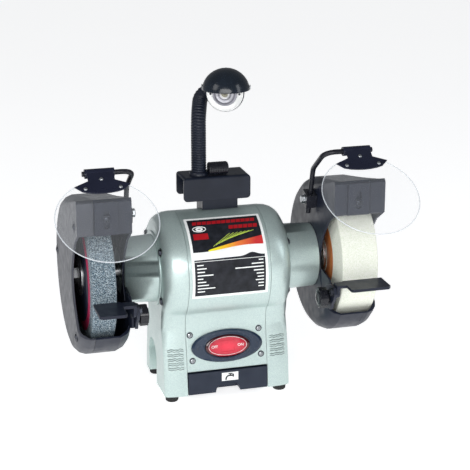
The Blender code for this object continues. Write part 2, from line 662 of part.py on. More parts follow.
def switch():
    a, b = BEZEL_A, BEZEL_B
    rings = [[(u * k, v * k, w) for u, v in ellipse(a, b)]
             for k, w in ((1.0, GAP), (1.0, 1.8), (0.92, 3.6))]
    bezel = panel_loft("switch_bezel", rings, BEZEL_PLASTIC)
    hole = [[(u, v, w) for u, v in ellipse(ROCKER_A + 0.6, ROCKER_B + 0.6)] for w in (-3.0, 6.0)]
    boolean(bezel, panel_loft("hole", hole, BEZEL_PLASTIC))
    pivot(bezel, panel_point(0, 0, 0))
    body = [[(u, v, w) for u, v in rounded_rect(25.0, 12.0, 1.5, 2)] for w in (-24.0, -2.4)]
    pivot(panel_loft("switch_body", body, BLACK_PLASTIC), panel_point(0, 0, -1))
    count = 32
    verts = []
    for k, w0 in ((0.96, 0.3), (1.0, 2.8), (0.9, 3.8)):
        dish = 0.0 if w0 < 2 else ROCKER_DISH
        verts += [panel_point(u * k, v * k, w0 + dish * (u * k / ROCKER_A) ** 2)
                  for u, v in ellipse(ROCKER_A, ROCKER_B, count)]
    ahead = lambda r, i: r * count + (i + 1) % count
    faces = [(r * count + i, ahead(r, i), ahead(r + 1, i), (r + 1) * count + i)
             for r in range(2) for i in range(count)]
    for first in (0, 2 * count):
        faces += [tuple(dict.fromkeys(first + i % count for i in (k, k + 1, count - k - 1, count - k)))
                  for k in range(count // 2)]
    pivot(solid("switch_rocker", verts, faces, RED_PLASTIC), panel_point(0, 0, 0))


def label():
    a0, a1, steps = 109.4, 197.9, 12
    outer = arc(0.0, SHAFT_Z, BELLY_R + GAP + 0.5, a0, a1, steps)
    inner = arc(0.0, SHAFT_Z, BELLY_R + GAP, a1, a0, steps)
    pivot(prism_x("label_plate", outer + inner, -41.2, 41.2, LABEL), point(0, -BELLY_R, SHAFT_Z))


# --------------------------------------------------------------------- lamp
def lamp_base():
    pedestal = box("lamp_pedestal", (-15.0, 24.0), (-1.0, 25.0), (188.0, BOX_Z[0] - GAP), BLACK_PLASTIC)
    boolean(pedestal, disc_x("belly", (-40, 40), BELLY_R + GAP, BLACK_PLASTIC, 72))
    pivot(pedestal, point(0, 12, BOX_Z[0]))
    y0, y1 = BOX_Y
    z0, z1 = BOX_Z
    r = 3.0
    outline = [(y0, z0), (y0, z1 - r)] + arc(y0 + r, z1 - r, r, 180, 90, 3)
    outline += arc(y1 - r, z1 - r, r, 90, 0, 3) + [(y1, z0)]
    t = 2.5
    shell = prism_x("lamp_box", outline, -BOX_HALF_X, BOX_HALF_X, BLACK_PLASTIC)
    boolean(shell, box("channel", (-60, 60), (y0 + t, y1 - t), (z0 - 5.0, z1 - t), BLACK_PLASTIC))
    middle = (z0 + z1) / 2.0
    front = rounded_rect(BOX_HALF_X, (z1 - z0) / 2.0, 4.0, 4)
    rings = [[point(x, y, middle + z) for x, z in front] for y in (y0 - 5.0, y1 + 5.0)]
    boolean(shell, loft("corners", rings, BLACK_PLASTIC), "INTERSECT")
    pivot(shell, point(0, 11, z0))
    core = box("lamp_transformer", (-22, 22), (y0 + 6, y1 - 6), (z0, z1 - t - 2), LAMINATION)
    pivot(core, point(0, 11, z0))
    knob = []
    for i in range(28):
        radius = 6.6 + 0.35 * (-1) ** i
        a = 2.0 * math.pi * i / 28
        knob.append((KNOB_AXIS[0] + radius * math.cos(a), KNOB_AXIS[1] + radius * math.sin(a)))
    pivot(prism_x("gooseneck_clamp_knob", knob, HOSE_X + HOSE_R + GAP, 12.0, BLACK_PLASTIC, 20.0),
          point(0, *KNOB_AXIS))


def head_point(u, v, w):
    """Point of the lamp head: u to its right, v out of its mouth, w up."""
    forward = Vector((math.sin(HEAD_YAW), -math.cos(HEAD_YAW), 0.0))
    right = Vector((math.cos(HEAD_YAW), math.sin(HEAD_YAW), 0.0))
    return point(*HEAD) + (right * u + forward * v + Vector((0, 0, 1)) * w) * MM


def boss_point(distance):
    """Point on the line along which the gooseneck enters the back of the lamp head."""
    return head_point(-0.8 * distance, -0.6 * distance, -0.06 * distance)


def gooseneck():
    """Straight lower length and an upper length that curls over to the lamp head."""
    start = point(HOSE_X, HOSE_Y, BOX_Z[1] + GAP)
    split = point(HOSE_X, HOSE_Y, HOSE_SPLIT_Z)
    height = HOSE_SPLIT_Z - BOX_Z[1] - GAP
    dome = [(height + (HOSE_R - GAP) * math.sin(math.radians(a)), HOSE_R * math.cos(math.radians(a)))
            for a in (0, 22, 44, 66)]
    profile = [(0.0, 0.0), (0.0, HOSE_R)] + dome + [(height + HOSE_R - GAP, 0.0)]
    lower = lathe_along("gooseneck_lower", profile, start, (0, 0, 1), BLACK_PLASTIC, 16)
    pivot(lower, start)
    above = split + Vector((0, 0, (HOSE_R + GAP) * MM))
    corners = [above, point(HOSE_X, HOSE_Y, 299.0), boss_point(36.0), boss_point(BOSS_END + GAP)]
    upper = tube("gooseneck_upper", rounded_path(corners, 10.0, 5), HOSE_R, BLACK_PLASTIC, 16)
    pivot(upper, split)


def head_lathe(name, profile, mat, count=28, rise=LAMP_RISE):
    """Turned piece along the lamp's own axis, profile (distance forward, radius)."""
    direction = head_point(0, 1, 0) - head_point(0, 0, 0)
    return lathe_along(name, profile, head_point(0, 0, rise), direction, mat, count)


def head_block(name, u, v, w):
    """Box in the lamp head's own directions."""
    rings = [[head_point(a, b, c) for a, b in ((u[0], v[0]), (u[1], v[0]), (u[1], v[1]), (u[0], v[1]))]
             for c in w]
    return loft(name, rings, BLACK_PLASTIC)


def lamp_head():
    shell = [(-10.0, 0.0), (-10.0, 9.0), (-7.0, 14.0), (-1.0, 18.6), (9.5, 20.3), (9.5, 18.3),
             (0.0, 16.4), (-5.0, 12.0), (-7.5, 8.0), (-7.5, 0.0)]
    obj = head_lathe("lamp_shell", shell, BLACK_PLASTIC)
    boss = tube("boss", [boss_point(10.0), boss_point(BOSS_END)], 8.2, BLACK_PLASTIC, 16)
    boolean(obj, boss, "UNION")
    pivot(obj, boss_point(BOSS_END))
    dish = [(7.6, 0.0), (7.6, 15.5), (9.9, 17.6), (10.2, 18.8), (12.4, 18.8), (9.8, 13.6), (9.8, 0.0)]
    pivot(head_lathe("lamp_reflector", dish, REFLECTOR), head_point(0, 9.5, 0))
    bulb = [(10.1, 0.0), (10.1, 11.0), (15.6, 13.0), (16.8, 9.5), (17.3, 0.0)]
    pivot(head_lathe("lamp_bulb", bulb, GLASS, 24), head_point(0, 10.1, 0))


def lamp_hood():
    """Half dome over the lamp, pivoting on the sides of the shell, open behind for the gooseneck."""
    outer, inner = HOOD_R, HOOD_R - 1.8
    sweep = [math.radians(15.0 * i) for i in range(1, 12)]
    profile = [(-outer, 0.0)]
    profile += [(-outer * math.cos(a), outer * math.sin(a)) for a in sweep]
    profile += [(outer, 0.0)]
    hood = head_lathe("lamp_hood", profile, BLACK_PLASTIC, 36, 0.0)
    hollow = [(-inner, 0.0)]
    hollow += [(-inner * math.cos(a), inner * math.sin(a)) for a in sweep]
    hollow += [(inner, 0.0)]
    boolean(hood, head_lathe("hollow", hollow, BLACK_PLASTIC, 36, 0.0))
    boolean(hood, head_block("lower_half", (-40, 40), (-40, 40), (-40.0, HOOD_EDGE)))
    boolean(hood, head_block("hose_window", (-40, 2), (-40, -6), (-10.0, 20.0)))
    pivot(hood, head_point(0, 0, 0))


def cord_gland():
    profile = [(0.0, 0.0), (0.0, 8.5), (3.0, 8.5), (3.5, 6.0), (16.0, 4.6), (16.0, 0.0)]
    out = Vector((0.0, math.cos(PANEL_TILT), math.sin(PANEL_TILT)))
    centre = point(-20.0, half_depth(52.0), 52.0) + out * (GAP + 0.1) * MM
    pivot(lathe_along("cord_gland", profile, centre, out, RUBBER, 16), centre)


motor_housing()
end_bell(-1, "left_end_bell")
end_bell(1, "right_end_bell")
base_plate()
feet()
water_tray()
motor_core()
spindle()
wheel_set(-1, "left", GREY_STONE, 0.0)
wheel_set(1, "right", WHITE_STONE, RIGHT_WHEEL_RECESS)
for side, word, cover in ((-1, "left", COVER_GREY), (1, "right", BLACK_PAINT)):
    inner_guard(side, word)
    outer_cover(side, word, cover)
    spark_arrester(side, word)
    eye_shield(side, word)
tool_rest(-1, "left", (121.0, 149.0), 38.0)
tool_rest(1, "right", (118.0, 162.0), 30.0)
switch()
label()
lamp_base()
gooseneck()
lamp_head()
lamp_hood()
cord_gland()
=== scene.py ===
"""Studio scene of the twin-wheel bench grinder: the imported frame, its finishes and its small parts.

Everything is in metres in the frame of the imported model; the small parts are laid
out in millimetres, with y measured from the spindle line and z from the bench.
"""
import json
import math

import bmesh
import bpy
from mathutils import Matrix, Vector

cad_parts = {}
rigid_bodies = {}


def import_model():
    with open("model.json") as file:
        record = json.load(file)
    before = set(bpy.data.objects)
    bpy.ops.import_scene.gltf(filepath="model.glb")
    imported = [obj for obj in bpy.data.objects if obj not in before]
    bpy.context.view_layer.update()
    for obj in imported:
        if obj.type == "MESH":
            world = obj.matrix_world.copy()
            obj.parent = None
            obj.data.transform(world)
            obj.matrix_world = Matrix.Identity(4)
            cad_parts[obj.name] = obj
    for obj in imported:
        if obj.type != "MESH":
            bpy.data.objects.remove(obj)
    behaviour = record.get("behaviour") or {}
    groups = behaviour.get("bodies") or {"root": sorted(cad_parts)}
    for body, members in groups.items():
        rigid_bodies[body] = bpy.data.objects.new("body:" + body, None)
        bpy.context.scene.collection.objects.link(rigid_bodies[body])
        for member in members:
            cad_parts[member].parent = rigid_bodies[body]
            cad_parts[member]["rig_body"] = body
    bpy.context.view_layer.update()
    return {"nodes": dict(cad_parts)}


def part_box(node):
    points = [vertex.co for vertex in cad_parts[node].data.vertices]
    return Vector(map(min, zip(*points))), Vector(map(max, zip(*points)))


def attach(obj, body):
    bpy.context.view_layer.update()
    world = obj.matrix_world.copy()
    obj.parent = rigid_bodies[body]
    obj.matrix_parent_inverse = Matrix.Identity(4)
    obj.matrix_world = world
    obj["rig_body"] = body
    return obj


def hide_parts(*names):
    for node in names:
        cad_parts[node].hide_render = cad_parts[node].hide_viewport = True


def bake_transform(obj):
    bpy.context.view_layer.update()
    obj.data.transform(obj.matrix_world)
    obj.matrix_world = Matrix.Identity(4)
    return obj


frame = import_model()
nodes = frame["nodes"]

MM = 0.001
SHAFT_Y = 33.64
SHAFT_Z = 139.0
SIDES = ((-1, "left"), (1, "right"))


def P(x, y, z):
    """World point from x, y measured from the spindle and z above the bench, in millimetres."""
    return Vector((x, y + SHAFT_Y, z)) * MM


# ------------------------------------------------------------------ finishes
class Look:
    """One node material, built up around its Principled shader."""

    def __init__(self, name, colour, rough=0.5, metal=0.0, coat=0.0, alpha=1.0):
        self.mat = bpy.data.materials.new(name)
        self.mat.use_nodes = True
        self.tree = self.mat.node_tree
        self.shader = self.tree.nodes["Principled BSDF"]
        self.set(self.shader, "Base Color", (*colour, 1.0))
        self.set(self.shader, "Roughness", rough)
        self.set(self.shader, "Metallic", metal)
        self.set(self.shader, "Coat Weight", coat)
        self.set(self.shader, "Alpha", alpha)
        self.where = self.tree.nodes.new("ShaderNodeTexCoord").outputs["Object"]
        self.normal = None

    def set(self, node, name, value):
        if isinstance(value, bpy.types.NodeSocket):
            self.tree.links.new(value, node.inputs[name])
        else:
            node.inputs[name].default_value = value

    def node(self, kind, out=0, inputs=None, **settings):
        made = self.tree.nodes.new("ShaderNode" + kind)
        for key, value in settings.items():
            setattr(made, key, value)
        for key, value in (inputs or {}).items():
            self.set(made, key, value)
        return made.outputs[out]

    def noise(self, scale, detail=3.0, rough=0.5, stretch=None):
        return self.node("TexNoise", 0, {"Vector": self.stretched(stretch), "Scale": scale,
                                         "Detail": detail, "Roughness": rough})

    def stretched(self, stretch):
        if stretch is None:
            return self.where
        return self.node("Mapping", 0, {"Vector": self.where, "Scale": stretch})

    def cells(self, scale, out="Color"):
        return self.node("TexVoronoi", out, {"Vector": self.where, "Scale": scale})

    def part(self, axis):
        return self.node("SeparateXYZ", axis, {"Vector": self.where})

    def maths(self, operation, a, b=0.0):
        return self.node("Math", 0, {0: a, 1: b}, operation=operation)

    def ramp(self, value, stops):
        made = self.tree.nodes.new("ShaderNodeValToRGB")
        band = made.color_ramp
        while len(band.elements) < len(stops):
            band.elements.new(0.5)
        for element, (place, colour) in zip(band.elements, stops):
            element.position = place
            element.color = (*colour, 1.0) if len(colour) == 3 else colour
        self.set(made, "Fac", value)
        return made.outputs["Color"]

    def span(self, value, low, high, to_low, to_high):
        return self.node("MapRange", 0, {"Value": value, "From Min": low, "From Max": high,
                                         "To Min": to_low, "To Max": to_high})

    def mix(self, factor, first, second, blend="MIX"):
        """Colour between a socket and another socket or plain colour."""
        made = self.tree.nodes.new("ShaderNodeMix")
        made.data_type = "RGBA"
        made.blend_type = blend
        colour_a, colour_b, colour_out = made.inputs[6], made.inputs[7], made.outputs[2]
        self.set(made, "Factor", factor)
        self.tree.links.new(first, colour_a)
        if isinstance(second, bpy.types.NodeSocket):
            self.tree.links.new(second, colour_b)
        else:
            colour_b.default_value = (*second, 1.0)
        return colour_out

    def tint(self, value, dark, light, low=0.3, high=0.7):
        self.set(self.shader, "Base Color", self.ramp(value, ((low, dark), (high, light))))
        return self

    def polish(self, value, smooth, rough, low=0.3, high=0.7):
        self.set(self.shader, "Roughness", self.span(value, low, high, smooth, rough))
        return self

    def edge(self, radius):
        """Rounds the look of sharp edges by a radius in millimetres."""
        self.normal = self.node("Bevel", 0, {"Radius": radius * MM}, samples=6)
        return self

    def bump(self, height, strength, depth):
        inputs = {"Height": height, "Strength": strength, "Distance": depth * MM}
        if self.normal is not None:
            inputs["Normal"] = self.normal
        self.normal = self.node("Bump", 0, inputs)
        return self

    def done(self, **sockets):
        if self.normal is not None:
            self.set(self.shader, "Normal", self.normal)
        for name, value in sockets.items():
            self.set(self.shader, name.replace("_", " "), value)
        return self.mat


def body_paint(name):
    """Silver-green metallic paint: fine flake, slight orange peel, and a faint cloud of dust."""
    look = Look(name, (0.5, 0.58, 0.57), 0.36, 0.55, coat=0.15)
    flake = look.cells(2600.0)
    cloud = look.noise(9.0, 4.0)
    base = look.ramp(look.node("SeparateColor", 0, {"Color": flake}),
                     ((0.0, (0.46, 0.56, 0.56)), (0.5, (0.53, 0.64, 0.62)), (1.0, (0.64, 0.74, 0.70))))
    dust = look.ramp(cloud, ((0.35, (0.93, 0.95, 0.95)), (0.7, (1.0, 1.0, 1.0))))
    look.set(look.shader, "Base Color", look.mix(1.0, base, dust, "MULTIPLY"))
    look.polish(look.noise(60.0, 4.0), 0.3, 0.4)
    look.edge(0.8)
    look.bump(look.noise(700.0, 2.0), 0.12, 0.25)
    return look.done(Coat_Roughness=0.15)


def worn_edges(look, base, wear, strength):
    """Mixes a lighter colour in where a rounded edge turns away from the flat face."""
    facing = look.node("VectorMath", "Value", {0: look.normal, 1: look.node("NewGeometry", "Normal")},
                       operation="DOT_PRODUCT")
    turned = look.span(facing, 0.995, 0.9, 0.0, 1.0)
    patchy = look.span(look.noise(160.0), 0.4, 0.65, 0.0, strength)
    amount = look.maths("MULTIPLY", turned, patchy)
    look.set(look.shader, "Base Color", look.mix(amount, base, wear))


def enamel(name, dark, light, smooth=0.32, rough=0.46, wear=(0.16, 0.17, 0.2)):
    """Dark stoved enamel with a fine orange peel, and edges rubbed lighter."""
    look = Look(name, dark, smooth)
    look.edge(0.5)
    worn_edges(look, look.ramp(look.noise(26.0, 4.0, 0.5), ((0.3, dark), (0.75, light))), wear, 0.35)
    look.polish(look.noise(110.0, 3.0), smooth, rough)
    look.bump(look.noise(900.0, 2.0), 0.12, 0.2)
    return look.done(Specular_IOR_Level=0.3)


def moulded(name, dark, light, smooth=0.35, rough=0.5, grain=1500.0, coat=0.0):
    """Moulded plastic with a fine spark-eroded grain."""
    look = Look(name, dark, smooth, 0.0, coat=coat)
    look.tint(look.noise(55.0, 4.0), dark, light)
    look.polish(look.noise(220.0, 3.0), smooth, rough)
    look.edge(0.45)
    look.bump(look.noise(grain, 2.0), 0.25, 0.2)
    return look.done(Specular_IOR_Level=0.3)


def turned_steel(name, dark, light, rough=0.26, stretch=(1.0, 1.0, 1.0), scale=900.0):
    """Bright machined steel with fine tool marks."""
    look = Look(name, light, rough, 1.0)
    marks = look.noise(scale, 3.0, 0.6, stretch)
    look.tint(marks, dark, light)
    look.polish(look.noise(75.0, 3.0), rough - 0.06, rough + 0.12)
    look.edge(0.2)
    look.bump(marks, 0.15, 0.1)
    return look.done()


def grit(name, stops, scale, deep):
    """Bonded abrasive: packed grains of differing shade, rough to the touch."""
    look = Look(name, stops[1][1], 0.9)
    grain = look.node("SeparateColor", 0, {"Color": look.cells(scale)})
    fine = look.noise(scale * 1.7, 2.0, 0.7)
    both = look.maths("ADD", look.maths("MULTIPLY", grain, 0.65), look.maths("MULTIPLY", fine, 0.45))
    look.set(look.shader, "Base Color", look.ramp(both, stops))
    look.bump(look.cells(scale, "Distance"), 0.7, deep)
    look.bump(fine, 0.5, deep * 0.6)
    return look.done()


PAINT = body_paint("silver_green_metallic")
# Darker paint for the thin lines beside the bell ribs, which are painted shadow.
RIB_SHADOW_PAINT = enamel("shadowed_paint", (0.12, 0.15, 0.15), (0.2, 0.24, 0.24), 0.5, 0.6, (0.3, 0.34, 0.33))
GUARD = enamel("guard_enamel", (0.008, 0.011, 0.024), (0.014, 0.018, 0.034))
GUARD_GREY = enamel("cover_enamel", (0.04, 0.043, 0.056), (0.056, 0.06, 0.075), 0.36, 0.5, (0.2, 0.2, 0.23))
BRACKET = enamel("bracket_enamel", (0.008, 0.01, 0.024), (0.014, 0.017, 0.036), 0.25, 0.38)
ROD = enamel("rod_enamel", (0.008, 0.009, 0.014), (0.016, 0.017, 0.024), 0.22, 0.34)
PLASTIC = moulded("moulded_black", (0.006, 0.009, 0.018), (0.011, 0.015, 0.028), 0.3, 0.42)
TRAY = moulded("tray_plastic", (0.012, 0.018, 0.034), (0.02, 0.027, 0.046), 0.38, 0.5)
KNOB = moulded("knob_plastic", (0.006, 0.007, 0.011), (0.013, 0.014, 0.02), 0.18, 0.3, 900.0, 0.3)
BEZEL = moulded("bezel_plastic", (0.01, 0.022, 0.046), (0.018, 0.034, 0.066), 0.18, 0.3, 1200.0, 0.4)
HOOD = moulded("hood_plastic", (0.005, 0.009, 0.016), (0.01, 0.016, 0.026), 0.2, 0.3, 700.0, 0.3)
RUBBER = moulded("foot_rubber", (0.013, 0.013, 0.014), (0.026, 0.026, 0.027), 0.65, 0.85, 800.0)
STEEL = turned_steel("turned_steel", (0.5, 0.51, 0.53), (0.78, 0.79, 0.8), 0.24, (6.0, 1.0, 1.0))
SCREW_STEEL = turned_steel("zinc_screw", (0.3, 0.32, 0.34), (0.5, 0.52, 0.54), 0.26)
DARK_SCREW = turned_steel("blued_screw", (0.03, 0.034, 0.045), (0.07, 0.075, 0.09), 0.3)
ACROSS_STACK = (60.0, 1.0, 1.0)
ALONG_WIRE = (1.0, 14.0, 14.0)
CORE = turned_steel("core_laminations", (0.12, 0.12, 0.13), (0.36, 0.36, 0.38), 0.42, ACROSS_STACK, 40.0)
COPPER = turned_steel("varnished_copper", (0.42, 0.14, 0.05), (0.72, 0.32, 0.14), 0.34, ALONG_WIRE, 90.0)
CAN = moulded("capacitor_can", (0.4, 0.42, 0.45), (0.55, 0.57, 0.6), 0.4, 0.5)
GREY_GRIT = grit("grey_grit", ((0.28, (0.006, 0.014, 0.028)), (0.46, (0.045, 0.085, 0.125)),
                               (0.6, (0.14, 0.21, 0.26)), (0.85, (0.55, 0.63, 0.66))), 1900.0, 0.45)
WHITE_GRIT = grit("ivory_grit", ((0.1, (0.66, 0.72, 0.58)), (0.4, (0.8, 0.83, 0.71)),
                                 (0.6, (0.86, 0.88, 0.78)), (0.9, (0.93, 0.94, 0.88))), 1500.0, 0.3)


def printed(name, colour, other=None, rough=0.3):
    """Printed film ink with a faint mottle."""
    look = Look(name, colour, rough)
    look.tint(look.noise(140.0, 4.0), colour, other or tuple(min(1.0, c * 1.12 + 0.004) for c in colour))
    look.bump(look.noise(900.0, 2.0), 0.06, 0.1)
    return look.done(Specular_IOR_Level=0.25)


FILM_WHITE = printed("film_white", (0.86, 0.88, 0.87))
FILM_BLACK = printed("film_black", (0.006, 0.007, 0.01), (0.02, 0.022, 0.03))
FILM_RED = printed("film_red", (0.4, 0.006, 0.012))
FILM_GREEN = printed("film_lime", (0.55, 0.72, 0.1))
BLOTTER_RED = printed("blotter_crimson", (0.3, 0.01, 0.05), (0.42, 0.03, 0.1), 0.6)
BLOTTER_BROWN = printed("blotter_orange", (0.3, 0.08, 0.02), (0.46, 0.16, 0.05), 0.6)


def sunrise():
    """Ink that runs from yellow through orange to red across the label."""
    look = Look("film_flame", (0.9, 0.6, 0.05), 0.3, coat=0.4)
    across = look.span(look.part(0), -0.022, 0.038, 0.0, 1.0)
    wobble = look.maths("ADD", across, look.maths("MULTIPLY", look.noise(160.0), 0.14))
    flame = look.ramp(wobble, ((0.1, (0.86, 0.85, 0.02)), (0.38, (0.9, 0.5, 0.02)),
                               (0.62, (0.85, 0.22, 0.04)), (0.95, (0.6, 0.03, 0.03))))
    look.set(look.shader, "Base Color", flame)
    return look.done()


# Switch panel, in mm: its centre, its slope, and the rocker's half width, half height and dished top.
PANEL_Z = 58.5
PANEL_AT = Vector((0.0, -9.38, PANEL_Z)) * MM
PANEL_TILT = math.atan2(7.4, 46.0)
PANEL_UP = Vector((0.0, math.sin(PANEL_TILT), math.cos(PANEL_TILT)))
PANEL_OUT = Vector((0.0, -math.cos(PANEL_TILT), math.sin(PANEL_TILT)))
ROCKER_A = 24.5
ROCKER_B = 12.0
ROCKER_MIDDLE = 3.8
ROCKER_DISH = 1.6


def rocker_red():
    """Clear red plastic over a lamp in its middle, painted brighter there with a faint glow as painted
    light, and darker towards its rim.
    """
    look = Look("clear_red", (0.6, 0.0, 0.03), 0.12, coat=0.4)
    across = look.maths("DIVIDE", look.part(0), ROCKER_A * MM)
    rise = look.maths("DIVIDE", look.maths("SUBTRACT", look.part(2), PANEL_Z * MM), ROCKER_B * MM)
    squares = look.maths("ADD", look.maths("MULTIPLY", across, across), look.maths("MULTIPLY", rise, rise))
    mottle = look.span(look.noise(260.0), 0.3, 0.7, -0.04, 0.04)
    # The ramp paints the middle bright as painted light and darkens towards the rim; the emission adds a
    # faint painted glow.
    shade = look.ramp(look.maths("ADD", look.maths("SQRT", squares), mottle),
                      ((0.0, (0.8, 0.012, 0.05)), (0.55, (0.55, 0.004, 0.03)), (0.84, (0.4, 0.0, 0.02)),
                       (0.9, (0.07, 0.0, 0.004)), (1.0, (0.035, 0.0, 0.002))))
    look.set(look.shader, "Base Color", shade)
    look.set(look.shader, "Emission Color", shade)
    look.edge(0.4)
    look.bump(look.noise(420.0), 0.1, 0.15)
    return look.done(Emission_Strength=0.08)


def clear_sheet(name, alpha, rough):
    look = Look(name, (0.8, 0.84, 0.88), rough, coat=0.15, alpha=alpha)
    look.polish(look.noise(45.0, 5.0), rough, rough + 0.1)
    look.bump(look.noise(60.0, 2.0), 0.04, 0.3)
    return look.done()


# Lamp head: its hood's pivot in mm, the way it faces, and how far the reflector sits above the pivot.
HEAD = Vector((12.0, 35.64, 325.5)) * MM
HEAD_TURN = math.radians(20.0)
HEAD_RIGHT = Vector((math.cos(HEAD_TURN), -math.sin(HEAD_TURN), 0.0))
HEAD_FORWARD = Vector((-math.sin(HEAD_TURN), -math.cos(HEAD_TURN), 0.0))
LAMP_RISE = 1.5
BULB_R = 13.2


def bulb_glass():
    """Moulded lamp face with rings that step from grey to dark about its own axis: painted reflections of
    the ringed glass.
    """
    look = Look("bulb_face", (0.5, 0.5, 0.55), 0.08, 0.35, coat=0.7)
    centre = HEAD + Vector((0.0, 0.0, LAMP_RISE)) * MM
    aside = look.node("VectorMath", 0, {0: look.where, 1: centre}, operation="SUBTRACT")
    turned = look.node("VectorMath", 0, {0: aside, 1: HEAD_FORWARD}, operation="CROSS_PRODUCT")
    radius = look.node("VectorMath", "Value", {0: turned}, operation="LENGTH")
    # The grey and dark rings in the colour are painted reflections; the bump below gives the moulded rings.
    rings = look.ramp(look.span(radius, 0.0, BULB_R * MM, 0.0, 1.0),
                      ((0.0, (0.05, 0.045, 0.03)), (0.22, (0.16, 0.15, 0.1)), (0.34, (0.5, 0.5, 0.52)),
                       (0.46, (0.06, 0.06, 0.08)), (0.62, (0.42, 0.42, 0.46)), (0.78, (0.05, 0.05, 0.07)),
                       (0.92, (0.3, 0.3, 0.34)), (1.0, (0.03, 0.03, 0.04))))
    look.set(look.shader, "Base Color", rings)
    look.bump(look.maths("SINE", look.maths("MULTIPLY", radius, 3600.0)), 0.5, 0.2)
    return look.done()


ROCKER = rocker_red()
CLEAR = clear_sheet("clear_polycarbonate", 0.05, 0.05)
CLEAR_EDGE = clear_sheet("polished_sheet_edge", 0.5, 0.08)
BULB = bulb_glass()
DISH = moulded("white_dish", (0.82, 0.83, 0.82), (0.92, 0.93, 0.92), 0.18, 0.3, 500.0, 0.4)


def dress(names, mat, smooth_angle=32.0):
    """Stands a skin for each CAD node: the same surface, welded and shaded smooth, in its finish."""
    weld, flat = 2e-6, math.radians(0.4)
    for name in names:
        node = nodes[name]
        skin = bmesh.new()
        skin.from_mesh(node.data)
        bmesh.ops.remove_doubles(skin, verts=skin.verts, dist=weld)
        bmesh.ops.dissolve_limit(skin, angle_limit=flat, verts=skin.verts, edges=skin.edges)
        mesh = bpy.data.meshes.new(name + "_skin")
        skin.to_mesh(mesh)
        skin.free()
        mesh.polygons.foreach_set("use_smooth", [True] * len(mesh.polygons))
        mesh.set_sharp_from_angle(angle=math.radians(smooth_angle))
        mesh.materials.clear()
        mesh.materials.append(mat)
        obj = bpy.data.objects.new(name + "_skin", mesh)
        bpy.context.scene.collection.objects.link(obj)
        weighted = obj.modifiers.new("flat_faces_first", "WEIGHTED_NORMAL")
        weighted.keep_sharp = True
        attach(obj, node["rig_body"])
        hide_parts(name)


# ------------------------------------------------------------ piece building
def piece(name, verts, faces, mat, body, smooth=True):
    mesh = bpy.data.meshes.new(name)
    mesh.from_pydata([tuple(v) for v in verts], [], faces)
    mesh.polygons.foreach_set("use_smooth", [smooth] * len(mesh.polygons))
    if smooth:
        mesh.set_sharp_from_angle(angle=math.radians(40.0))
    mesh.materials.append(mat)
    obj = bpy.data.objects.new(name, mesh)
    bpy.context.scene.collection.objects.link(obj)
    if body:
        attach(obj, body)
    return obj


class Shape:
    """Collects vertices and faces of one piece."""

    def __init__(self):
        self.verts, self.faces = [], []

    def grid(self, rows, closed=False):
        """Quads between equal-length rows of points; closed joins each row's ends."""
        first = len(self.verts)
        width = len(rows[0])
        for row in rows:
            self.verts.extend(row)
        for r in range(len(rows) - 1):
            for i in range(width if closed else width - 1):
                a, b = first + r * width + i, first + r * width + (i + 1) % width
                self.faces.append((a, b, b + width, a + width))
        return first, first + (len(rows) - 1) * width

    def tube(self, path, radius, count=10, caps=True):
        """Round tube along a path of points; radius in mm is a number or a function of the point."""
        side, rows = None, []
        for i, here in enumerate(path):
            ahead = (path[min(i + 1, len(path) - 1)] - path[max(i - 1, 0)]).normalized()
            side = side or ahead.orthogonal().normalized()
            side = (side - ahead * side.dot(ahead)).normalized()
            up = ahead.cross(side)
            r = (radius(i) if callable(radius) else radius) * MM
            turns = [k * math.tau / count for k in range(count)]
            rows.append([here + (side * math.cos(a) + up * math.sin(a)) * r for a in turns])
        start, end = self.grid(rows, True)
        if caps:
            self.faces.append(tuple(range(start + count - 1, start - 1, -1)))
            self.faces.append(tuple(range(end, end + count)))

    def turn(self, centre, axis, profile, count=32, sides=None):
        """Turned form: profile is (distance along axis, radius) in mm."""
        axis = Vector(axis).normalized()
        u = axis.orthogonal().normalized()
        v = axis.cross(u)
        rows = []
        for along, radius in profile:
            row = []
            for k in range(count):
                a = k * math.tau / count
                r = radius * (sides(a) if sides else 1.0)
                row.append(centre + (axis * along + (u * math.cos(a) + v * math.sin(a)) * r) * MM)
            rows.append(row)
        start, end = self.grid(rows, True)
        self.faces.append(tuple(range(start + count - 1, start - 1, -1)))
        self.faces.append(tuple(range(end, end + count)))

    def screw(self, centre, axis, radius, height, kind="cross", spin=0.6):
        """Domed screw head with a cross or plain top; the recess is pressed into the dome."""
        axis = Vector(axis).normalized()
        u = axis.orthogonal().normalized()
        u = Matrix.Rotation(spin, 3, axis) @ u
        v = axis.cross(u)
        rows, count, rings = [], 48, 16
        for j in range(rings + 1):
            r = radius * (1.0 - j / rings)
            row = []
            for k in range(count):
                a = k * math.tau / count
                x, y = r * math.cos(a), r * math.sin(a)
                h = height * math.sqrt(max(0.0, 1.0 - 0.75 * (r / radius) ** 2))
                if j == 0:
                    h = 0.0
                near = min(abs(x), abs(y))
                far = max(abs(x), abs(y))
                if kind == "cross" and near < radius * 0.15 and far < radius * 0.62:
                    h -= height * 0.62
                if kind == "slot" and abs(y) < radius * 0.15:
                    h -= height * 0.5
                row.append(centre + (u * x + v * y + axis * h) * MM)
            rows.append(row)
        self.grid(rows, True)

    def piece(self, name, mat, body, slot=None, smooth=True):
        return piece(name, self.verts, self.faces, mat, body, smooth)


def surface(node, start, direction):
    """Point and normal where a ray first meets a CAD node."""
    hit, place, normal, _ = nodes[node].ray_cast(start, Vector(direction))
    if not hit:
        raise ValueError("no surface of %s along that line" % node)
    return place, normal


def hexagon(angle):
    """Radius of a hexagon at an angle, as a part of its corner radius."""
    part = (angle + math.pi / 6) % (math.pi / 3) - math.pi / 6
    return math.cos(math.pi / 6) / math.cos(part)


